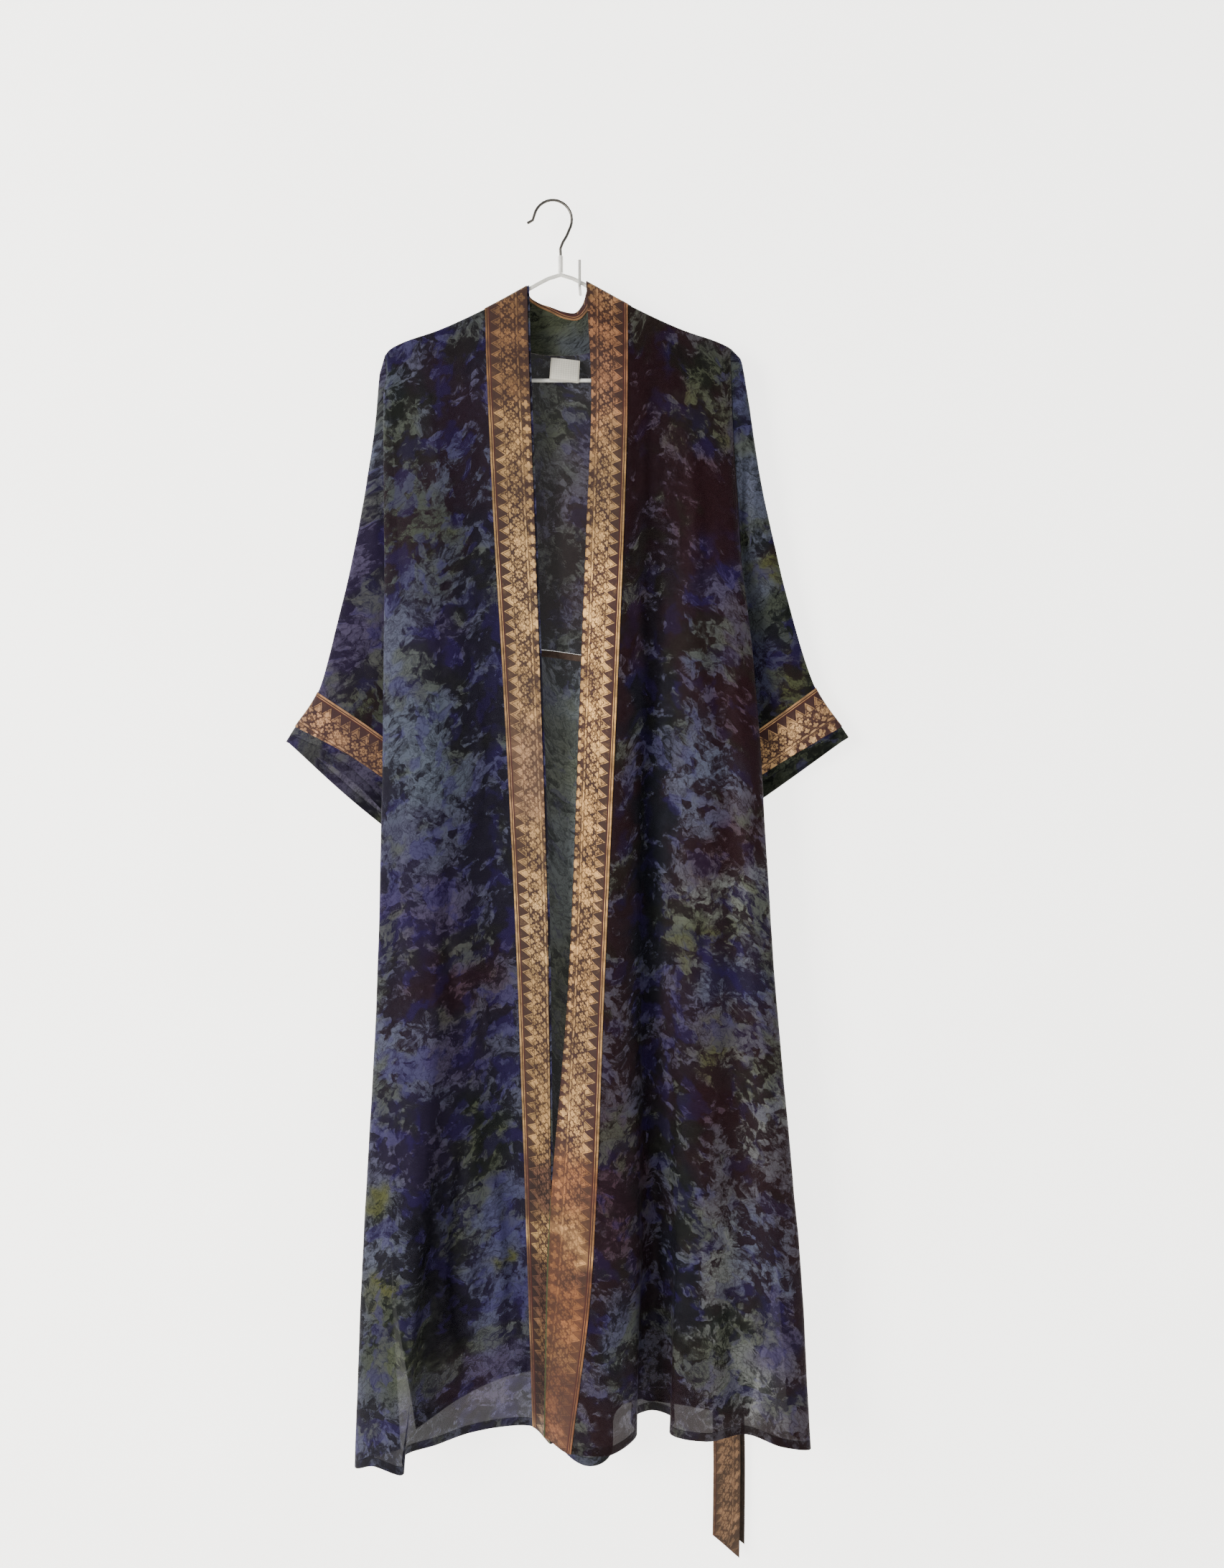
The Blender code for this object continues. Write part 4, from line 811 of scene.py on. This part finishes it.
def make_silk():
    g = Graph("silk")
    cut, u, v = g.cut()
    (clear, share), (vein, sheer) = g.attribute("clear"), g.attribute("vein")
    bent = g.shift(cut, g.noise(cut, 22.0, 2.0, colour=True), 0.020)
    bent = g.shift(bent, g.noise(cut, 95.0, 2.0, colour=True), 0.007)
    clouds = g.noise(bent, 15.0, 7.0, 0.66)
    rim = (g.noise(bent, 60.0, 4.0, 0.65) - 0.5).abs().ramp(0.0, 0.055)
    vein_line = (g.noise(bent, 130.0, 3.0, 0.65) - 0.5).abs().ramp(0.0, 0.07)
    tint, petal_edge = g.cells(bent, 92.0)
    speck, speck_edge = g.cells(bent, 210.0)
    # Streaks that spread from the middle of each tied spot
    knots = g.voronoi(cut, 11.0)
    spot = g.node("VectorMath", knots.outputs["Position"], cut, operation="SUBTRACT").outputs[0]
    spot_x, spot_y, _ = g.split(spot)
    reach = Field(g, knots.outputs["Distance"])
    around = g.vector(spot_x.maths("ARCTAN2", spot_y) * 3.4, reach * 1.7, clouds * 2.0)
    streak = g.noise(around, 2.6, 3.0, 0.62, flat=False)
    level = share + 0.07 + (clouds - 0.5) * 2.1 + (streak - 0.5) * 0.9
    level = level + (tint - 0.5) * 0.42 + (speck - 0.5) * 0.34
    line = (petal_edge.ramp(0.0, 0.09) * 0.42 + 0.60) * (speck_edge.ramp(0.0, 0.16) * 0.22 + 0.79)
    line = line * (rim * 0.46 + 0.58) * (vein_line * 0.42 + 0.69)
    tone = (level.ramp(0.30, 0.74) * 0.91 + 0.09) * line * (tint * 0.38 + 0.74)
    # Less violet where the veins are red, and none where all is dark or all is clear
    red, _, blue = g.split(vein)
    hue = g.noise(bent, 25.0, 3.0, 0.6) + (tint - 0.5) * 0.10
    violet = hue.ramp(0.53, 0.60) * share.ramp(0.0, 0.22) * share.ramp(0.80, 0.74)
    violet = violet * ((blue - red).ramp(-0.007, 0.0) * 0.6 + 0.4)
    green = g.noise(bent, 12.0, 3.0, 0.6).ramp(0.53, 0.64)
    light = g.mix(green * 0.6, g.mix(violet * 0.44, clear, 0x30275A), 0x484D3B)
    dark = g.mix(green * 0.35, g.mix(violet * 0.60, vein, 0x1E123F), 0x12140E)
    # The hem is turned up; above it a single layer of silk lets the wall show through
    hem_line = (v - HEM_FOLD).abs().ramp(0.0011, 0.0004)
    double = v.ramp(HEM_FOLD + 0.0001, HEM_FOLD - 0.0003)
    colour = g.darker(g.mix(tone, dark, light), double * -0.35 + hem_line * -0.25 + 1.0)
    threads = g.noise(g.vector(u * 3.0, v), 900.0, 1.0)
    crinkle = g.noise(cut, 85.0, 2.0, 0.6)
    g.bump(crinkle + threads * 0.2 + double * 0.5, 0.0012, 0.5)
    return g.finish(
        Base_Color=colour,
        Roughness=0.6,
        Alpha=sheer * -0.055 + tone * -0.02 + double * 0.08 + 0.92,
        Specular_IOR_Level=0.07,
        Sheen_Weight=0.015,
        Sheen_Roughness=0.4,
    )


def bloom(p, q, petals, size):
    """A flower about the point where p and q are 0, in millimetres: its shape and its outline."""
    radius = (p * p + q * q).maths("SQRT")
    edge = (p.maths("ARCTAN2", q) * petals).maths("COSINE").abs() * 0.45 + 0.55
    off = radius - edge * size
    return off.ramp(0.3, -0.3), off.abs().ramp(0.85, 0.30)


def make_brocade(name, width):
    """Woven band: u runs from its outer edge across its width, v along it, both in metres.

    Its figures are drawn in millimetres, as dark ink on gold, and are narrower on a narrow band.
    """
    g = Graph(name)
    cut, u, v = g.cut()
    (clear, crisp), (vein, low) = g.attribute("clear"), g.attribute("vein")
    wobble = g.noise(cut, 45.0, 2.0) - 0.5
    x = u * (1000.0 * PATTERN / width) + wobble * 0.7
    y = v * 1000.0 + wobble * 0.9

    def stroke(at, outer, inner):
        return (x - at).abs().ramp(outer, inner)

    # Row of pointed leaves along the outer side, dark between the points
    inside = (x - 6.4) / 12.6 - y.from_middle(13.4).abs() * 2.0
    row = x.ramp(19.3, 18.9)
    leaves = (inside.ramp(0.04, -0.04) * row, (inside - 0.24).abs().ramp(0.09, 0.03) * row * 0.75)
    # Middle column of flowers with leaves on both sides, and a column of buds
    step, bud_period = 12.2, 14.0
    across = x - 28.5
    along = y.from_middle(step) * step
    half_step = ((y / step + 0.5).fract() - 0.5) * step
    bud_step = y.from_middle(bud_period) * bud_period
    blooms = (
        bloom(across, along, 3.0, 5.8),
        bloom(across + 7.4, half_step, 2.0, 4.4),
        bloom(across - 7.4, half_step, 2.0, 4.4),
        bloom(x - 48.0, bud_step, 2.0, 5.8),
    )
    (figure, *figures), (outline, *outlines) = zip(*blooms)
    eye = ((across * across + along * along).maths("SQRT") - 1.3).abs().ramp(0.6, 0.2)
    figure = figure.most(*figures, x.ramp(19.6, 19.0), stroke(40.5, 2.4, 2.0))
    # Thin lines on both sides of the flowers, dark gaps between the buds, and a beaded inner edge
    lines = (stroke(19.6, 0.6, 0.25) * 0.7, stroke(38.6, 0.7, 0.3) * 0.85, stroke(42.0, 0.7, 0.3) * 0.85)
    gaps = (bud_step.abs() / 7.0 + (x - 43.5) * 0.05).ramp(0.98, 1.06) * x.ramp(43.0, 43.6)
    ground = (figure * -1.0 + 1.0) * (crisp * -0.45 + 0.95)
    beads = y.from_middle(3.5).abs().ramp(0.30, 0.38) * x.ramp(52.6, 53.0) * 0.7
    specks = g.cells(cut, 430.0)[0].ramp(0.30, 0.20) * x.ramp(7.0, 8.0) * 0.45
    ink = ground.most(*leaves, outline.most(*outlines) * 0.9, eye * 0.8, *lines, gaps, beads, specks)
    # Wear: threads and rubbed spots; and bands across the width, partly wear and partly painted highlight and
    # shade of wrinkles
    thread = g.noise(g.vector(u * 2600.0, v * 900.0), 1.0, 2.0, 0.6)
    fine = g.noise(g.vector(u * 1100.0, v * 3200.0), 1.0, 2.0, 0.6)
    rubbed = g.noise(cut, 40.0, 5.0, 0.72).ramp(0.36, 0.68)
    wrinkle_light_and_wear = g.noise(g.vector(u * 0.45, v), 19.0, 6.0, 0.70).ramp(0.36, 0.60)
    ink = (ink + (thread - 0.5) * 0.8 + (rubbed - 0.5) * -0.5).ramp(0.2, 0.85)
    ink = ink * (crisp.ramp(0.1, 0.7) * 0.85 + 0.15)
    gold = g.darker(clear, (rubbed * 0.85 + thread * 0.7 + 0.50) * (wrinkle_light_and_wear * 0.54 + 0.66))
    colour = g.mix(ink * 0.97 + fine.ramp(0.55, 0.75) * 0.12, gold, vein)
    # Selvedge stripes at the outer edge
    ribs = y.from_middle(1.15).abs().ramp(0.12, 0.34)
    stripe = g.darker(gold, ribs * 0.35 + 0.75)
    for start, end, paint in ((2.1, 2.3, 0x34140E), (3.3, 3.5, gold), (4.3, 4.5, 0x3C1210)):
        stripe = g.mix(x.ramp(start, end), stripe, paint)
    colour = g.mix(x.ramp(5.8, 6.1), stripe, colour)
    # The green facing shows along the inner edge, low down
    colour = g.mix(low.ramp(0.30, 0.42), colour, 0x3A4526)
    relief = ink * -0.55 + thread * 0.35 + fine * 0.25 + ribs * x.ramp(2.6, 2.1) * 0.3
    g.bump(relief, 0.0007, 0.8)
    return g.finish(Base_Color=colour, Roughness=ink * 0.16 + 0.48, Metallic=0.15, Specular_IOR_Level=0.35)


def make_woven(name, low, high):
    """Plain ribbed weave, for the belt's reverse and the seam tape."""
    g = Graph(name)
    cut, u, v = g.cut()
    ribs = ((u * 900.0).fract() - 0.5).abs() + ((v * 420.0 + u * 420.0).fract() - 0.5).abs()
    slubs = g.noise(cut, 120.0, 4.0, 0.65)
    g.bump(ribs + slubs, 0.0006, 0.7)
    colour = g.mix(ribs * 0.5 + slubs.ramp(0.3, 0.7) * 0.5, low, high)
    return g.finish(Base_Color=colour, Roughness=0.75, Specular_IOR_Level=0.2)


def make_plain(name, low, high, roughness, metallic=0.0, scale=300.0, relief=0.0002):
    g = Graph(name)
    place = g.place()
    grain = g.noise(place, scale, 4.0, 0.6, flat=False)
    wear = g.noise(place, scale / 9.0, flat=False)
    colour = g.mix((grain * 0.5 + wear * 0.5).ramp(0.35, 0.65), low, high)
    g.bump(grain, relief, 0.5)
    return g.finish(Base_Color=colour, Roughness=wear * 0.16 + (roughness - 0.08), Metallic=metallic)


def make_label():
    g = Graph("label")
    _, u, v = g.cut()
    weave = ((u * 2200.0).maths("SINE") + (v * 2200.0).maths("SINE")) * 0.25 + 0.5
    stain = g.noise(g.place(), 90.0, flat=False)
    colour = g.mix(weave * 0.4 + stain * 0.4, 0xBFBBAE, 0xE3DFD2)
    sides = (u - 0.017).abs().ramp(0.0148, 0.0160).most((v - 0.0185).abs().ramp(0.0160, 0.0172))
    colour = g.mix(sides * 0.5, colour, 0x9A9486)
    g.bump(weave, 0.0004, 0.5)
    return g.finish(Base_Color=colour, Roughness=0.8, Sheen_Weight=0.1)


def build_front(side_name, folds, side, silk, brocade):
    """A front and its border; side is 1 where the border is to the right of the silk."""
    grid = panel_grid(folds, shoulder_height, FRONT_ROWS)
    grid[:, :, 1] = crest(grid[:, :, 1], grid[0, :, 2] - grid[:, :, 2])
    full = with_reveal(grid, side)[:, ::side]
    name = f"front_{side_name}"
    column = np.arange(full.shape[1])
    edge = ramp(np.minimum(column, column[::-1]), 0, 4)
    full = creased(full, name, ramp(full[0, :, 2] - full[:, :, 2], 30, 80) * edge)
    panel = add_sheet(name, "silk", full, SILK, silk, dye=name, flip_u=side < 0)
    steps = [fold.steps for fold in folds]
    first, last = sum(steps[:-2]), sum(steps[:-1])
    columns = slice(first, last + 1) if side > 0 else slice(last - first + 1)
    band = moved_out(full, BRAID_OFF)[:, columns]
    node, dye = f"front_border_{side_name}", f"band_{side_name}"
    border = add_sheet(node, "band", band, BRAID, brocade, dye=dye, flip_u=side < 0)
    return (full[:, 0] if side > 0 else full[:, -1]), panel


def build_back(silk, tape_weave):
    whole = panel_grid(BACK, neckline_height, BACK_ROWS)
    hung = ramp(np.abs(neck_reach(whole[0, :, 0])), 0.94, 1.0)
    drop = shoulder_height(whole[0, :, 0]) - whole[:, :, 2]
    whole[:, :, 1] += (crest(whole[:, :, 1], drop) - whole[:, :, 1]) * hung
    seam = waist_height(whole[0, :, 0])
    upper = row_heights(whole[0, :, 2], seam + SEAM_GAP / 2, CREST_DROPS, UPPER_ROWS)
    lower = row_heights(seam - SEAM_GAP / 2, whole[-1, :, 2], (0.0, 4.0, 8.0), LOWER_ROWS)
    bodice, skirt = (
        np.stack([read_column(whole[:, j], rows[:, j]) for j in range(whole.shape[1])], axis=1)
        for rows in (upper, lower)
    )
    fade = ramp(bodice[0, :, 2] - bodice[:, :, 2], 20, 70) * ramp(bodice[:, :, 2] - seam, 0, 30)
    bodice = creased(bodice, "back", fade)
    skirt = creased(skirt, "back", ramp(seam - skirt[:, :, 2], 0, 30))
    top = add_sheet("back_upper", "silk", bodice, SILK, silk, dye="back", shift=(2.0, 1.0))
    bottom = add_sheet("back_lower", "silk", skirt, SILK, silk, dye="back", shift=(3.0, 0.0))
    tape_grid = moved_out(skirt, SILK / 2 + 0.15 + TAPE / 2)[:3]
    tape = add_sheet("waist_tape", "band", tape_grid, TAPE, tape_weave)
    return bodice, top


def armhole_loop(front_edge, back_edge, side, shares):
    """The sleeve's first ring: down the front panel's edge and up the back one's."""
    top = front_edge[0, 2]
    heights = top + (UNDERARM - top) * shares
    front, back = read_column(front_edge, heights), read_column(back_edge, heights)
    middle = (front + back) / 2
    front[:, 1] -= ramp(top - heights, 0, 40) * ARMHOLE_TUCK
    loop = np.vstack([middle[:1], front[1:-1], middle[-1:], back[-2:0:-1]])
    return loop + np.array([side * 0.6, 0.0, 0.0])


def sleeve_grid(rings, first_ring, shares):
    """Grid of a tube pressed flat: each row goes along its front layer and back along its rear one."""
    keys = np.arange(len(rings), dtype=float)
    at = np.linspace(0, keys[-1], (len(rings) - 1) * RING_ROWS + 1)
    columns = (pchip(keys, values, at)[:, None] for values in zip(*rings))
    outer_x, outer_z, inner_x, inner_z, outer_depth, inner_depth, half, lift = columns
    along = np.concatenate([shares, shares[-2:0:-1]])
    layer = np.concatenate([np.ones(len(shares)), -np.ones(len(shares) - 2)])
    swell = (4 * along * (1 - along)) ** 0.3
    x = outer_x + (inner_x - outer_x) * along
    z = outer_z + (inner_z - outer_z) * along + lift * np.sin(np.pi * along) * np.where(layer > 0, 1.0, -0.3)
    depth = outer_depth + (inner_depth - outer_depth) * along + half * swell * layer
    grid = np.dstack([x, depth, z])
    grid[0] = first_ring
    for row in range(1, RING_ROWS):
        grid[row] = first_ring + (grid[RING_ROWS] - first_ring) * row / RING_ROWS
    return grid


def build_sleeve(side_name, rings, side, edges, silk, brocade):
    """A sleeve and its border; side is 1 for the right one."""
    shares = (1 - np.cos(np.pi * np.arange(RING_HALF + 1) / RING_HALF)) / 2
    grid = sleeve_grid(rings, armhole_loop(*edges, side, shares), shares)[:, ::-side]
    name, node = f"sleeve_{side_name}", f"sleeve_border_{side_name}"
    fade = ramp(np.arange(len(grid)), 0, RING_ROWS)[:, None]
    grid = creased(grid, name, fade, closed=True)
    tube = add_sheet(name, "silk", grid, SILK, silk, closed=True, dye=name, shift=(4.0, 0.0))
    start, end = (ring * RING_ROWS for ring in BORDER_RINGS)
    band = moved_out(grid, BRAID_OFF, closed=True)[start : end + 1]
    cuff = add_sheet(node, "band", band, BRAID, brocade, closed=True, dye="cuff", turned=True)


def build_neck(bodice, silk, brocade):
    start, end = (
        sum(fold.steps for fold in BACK[: [fold.name for fold in BACK].index(name)])
        for name in ("left neck", "right neck")
    )
    outward = np.cross(tangents(bodice, 1), normals(bodice))[0, start : end + 1]
    lower = bodice[0, start : end + 1] + unit(outward) * 0.25 * np.sign(outward[:, 2:].mean())

    def shoulder_points(x):
        drops = np.array((0.0, 1.2, CREST_RADIUS))
        depth = crest(np.full(3, HANGER_DEPTH - 10.0), drops)
        return np.column_stack([np.full(3, x), depth, shoulder_height(x) - drops])

    outline = np.vstack([shoulder_points(NECK_EDGE_LEFT), NECK_EDGE, shoulder_points(NECK_EDGE_RIGHT)[::-1]])
    top = resample(outline, len(lower))
    grid = top + (lower - top) * np.linspace(0, 1, 16)[:, None, None]
    facing = add_sheet("neck_facing", "silk", grid, SILK, silk, dye="neck_facing", shift=(5.4, 1.3))
    # The border is rolled over the facing's top edge
    face = normals(grid)[0]
    up = unit(grid[0] - grid[1])
    lap = pchip((0.0, 0.3, 0.6, 0.85, 1.0), NECK_LAPS, np.linspace(0, 1, len(lower)))[:, None]
    rolled = [grid[0] + face * BRAID_OFF - up * (lap * share) for share in (1.0, 0.75, 0.5, 0.25)]
    angles = np.radians((0, 45, 90, 135))
    rolled += [grid[0] + (face * np.cos(a) + up * np.sin(a)) * BRAID_OFF for a in angles]
    band = np.concatenate([np.array(rolled), moved_out(grid, -BRAID_OFF)])
    border = add_sheet("neck_border", "band", band, BRAID, brocade, dye="cuff", turned=True)


def build_label(finish):
    across = np.linspace(0, 1, 19)[:, None]
    line = spline(LABEL_LINE, (6, 6, 4))[:, None]
    curl = 0.5 * np.sin(np.pi * across)
    grid = line + across * (LABEL_WIDTH, 0.0, -LABEL_TILT) + curl * (0.0, 1.0, 0.0)
    label = add_sheet("label", "patch", grid, LABEL_WALL, finish)


def build_belt(silk, finish):
    """The belt, hung in a long loop, and the keeper that carries it."""
    heights, places, fronts, rears = np.array(BELT, float).T
    top, low = heights[0], heights[-1]
    z = np.linspace(top, low, 150)[:, None]
    x = pchip(heights, places, z)
    across = np.linspace(-0.5, 0.5, 17) * BELT_WIDTH
    aslant = 1 - ramp(z - low, 0, BELT_END)
    edge = z - BELT_POINT * (across / BELT_WIDTH + 0.5) * aslant
    front = pchip(heights, fronts, z) + 0.5 * np.sin(across / 7.0 + z / 60.0)
    drift = BELT_REAR_SHIFT * (top - z) / (top - low)
    rear = pchip(heights, rears, z) + 0.4 * np.sin(across / 9.0 - z / 75.0)
    angle = np.radians(np.linspace(0, 180, 13))[:, None]
    middle, radius = (fronts[0] + rears[0]) / 2, (fronts[0] - rears[0]) / 2
    turn = (places[0] + across, middle + radius * np.cos(angle), top + BELT_TURN + radius * np.sin(angle))
    # Up the front run, over the keeper and down the rear run
    grid = np.concatenate([
        np.dstack([x + across, front, edge])[::-1],
        np.dstack(np.broadcast_arrays(*turn)),
        np.dstack([x + drift + across, rear, edge + BELT_REAR_RISE * aslant]),
    ])
    belt = add_sheet("belt", "strip", grid, BELT_WALL, finish, dye="belt")
    reach = BELT_WIDTH / 2
    plan = ((reach + 5.0, KEEPER_DEPTH), (reach + 3.2, KEEPER_DEPTH), (reach + 1.2, middle))
    strip = [(places[0] - off, depth) for off, depth in plan] + [(places[0], middle)]
    strip += [(places[0] + off, depth) for off, depth in plan[::-1]]
    loop = np.array([[(x, depth, KEEPER_HEIGHT + h) for x, depth in strip] for h in KEEPER_ROWS])
    keeper = add_sheet(
        "belt_keeper", "loop", loop, KEEPER_WALL, silk, dye="neck_facing", shift=(6.0, 1.0)
    )


def add_stage():
    """A pale wall behind, seen from the front only, and a pale floor below."""
    g = Graph("wall_paint")
    paint = g.mix(g.noise(g.place(), 3.0, flat=False).ramp(0.3, 0.7), 0xE6E4DC, 0xEDECE6)
    g.finish(Base_Color=paint, Roughness=0.85, Emission_Color=(1.0, 0.99, 0.965, 1.0), Emission_Strength=3.0)
    rear = g.node("NewGeometry").outputs["Backfacing"]
    blend = g.node("MixShader", rear, g.shader.outputs[0], g.node("BsdfTransparent").outputs[0])
    g.put(g.tree.nodes["Material Output"].inputs["Surface"], blend.outputs[0])
    floor_paint = make_plain("floor_paint", 0xD8D7D2, 0xE0DFDA, 0.8, scale=40.0)
    for name, near, far, top, finish in (
        ("backdrop_wall", 0, 0, STAGE_TOP, g.made),
        ("backdrop_floor", -STAGE, STAGE, FLOOR, floor_paint),
    ):
        points = ((-STAGE, near, FLOOR), (STAGE, near, FLOOR), (STAGE, far, top), (-STAGE, far, top))
        mesh = bpy.data.meshes.new(name)
        mesh.from_pydata(points, [], [(0, 1, 2, 3)])
        mesh.materials.append(finish)
        placed(name, mesh)


def add_light(name, place, aim, size, power, colour=(1.0, 1.0, 1.0)):
    data = bpy.data.lights.new(name, "AREA")
    data.shape = "RECTANGLE"
    data.size, data.size_y = size
    data.energy = power
    data.color = colour
    made = placed(name, data)
    made.location = place
    made.rotation_euler = (Vector(aim) - Vector(place)).to_track_quat("-Z", "Y").to_euler()


def add_camera():
    data = bpy.data.cameras.new("view")
    data.sensor_fit = "AUTO"
    data.sensor_width = SENSOR
    data.lens = SENSOR * PHOTO_SIZE[0] / PHOTO_SIZE[1]
    made = placed("view", data)
    made.location = CAMERA_PLACE
    made.rotation_euler = (np.radians(90 - CAMERA_PITCH), 0.0, 0.0)
    bpy.context.scene.camera = made


def add_studio():
    add_camera()
    add_stage()
    world = bpy.data.worlds.new("studio")
    world.use_nodes = True
    background = world.node_tree.nodes["Background"]
    background.inputs["Color"].default_value = (0.93, 0.95, 1.0, 1.0)
    background.inputs["Strength"].default_value = 0.22
    bpy.context.scene.world = world
    add_light("key", (-2.7, -2.5, 0.2), (0.0, 0.0, -0.75), (1.5, 1.9), 190.0, (1.0, 0.98, 0.95))
    add_light("fill", (1.4, -2.8, -0.2), (0.0, 0.0, -0.8), (1.6, 2.2), 10.0)


def main():
    noise.seed_set(NOISE_SEED)
    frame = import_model()
    add_studio()
    silk = make_silk()
    brocade = make_brocade("brocade", PATTERN)
    belt_brocade = make_brocade("brocade_belt", BELT_WIDTH * MM)
    belt_reverse = make_woven("belt_reverse", 0x1E1612, 0x3A2C22)
    tape_weave = make_woven("seam_tape", 0x382C2A, 0x625044)
    coating = make_plain("white_coating", 0xD8D6CF, 0xECEBE6, 0.38)
    hook_paint = make_plain("hook_paint", 0xA8A7A2, 0xC2C1BC, 0.42)
    chrome = make_plain("chrome", 0x45433F, 0x5C5955, 0.42, metallic=0.9, scale=500.0, relief=0.00005)
    for name, finish in (
        ("hanger_frame", coating),
        ("hanger_neck", coating),
        ("hanger_hook", chrome),
        ("wall_hook", hook_paint),
    ):
        materials = frame["nodes"][name].data.materials
        materials.clear()
        materials.append(finish)
    left_edge, left = build_front("left", FRONT_LEFT, 1, silk, brocade)
    right_edge, right = build_front("right", FRONT_RIGHT, -1, silk, brocade)
    bodice, back = build_back(silk, tape_weave)
    build_sleeve("left", SLEEVE_LEFT, -1, (left_edge, bodice[:, 0]), silk, brocade)
    build_sleeve("right", SLEEVE_RIGHT, 1, (right_edge, bodice[:, -1]), silk, brocade)
    build_neck(bodice, silk, brocade)
    build_label(make_label())
    build_belt(silk, (belt_brocade, belt_reverse))


main()
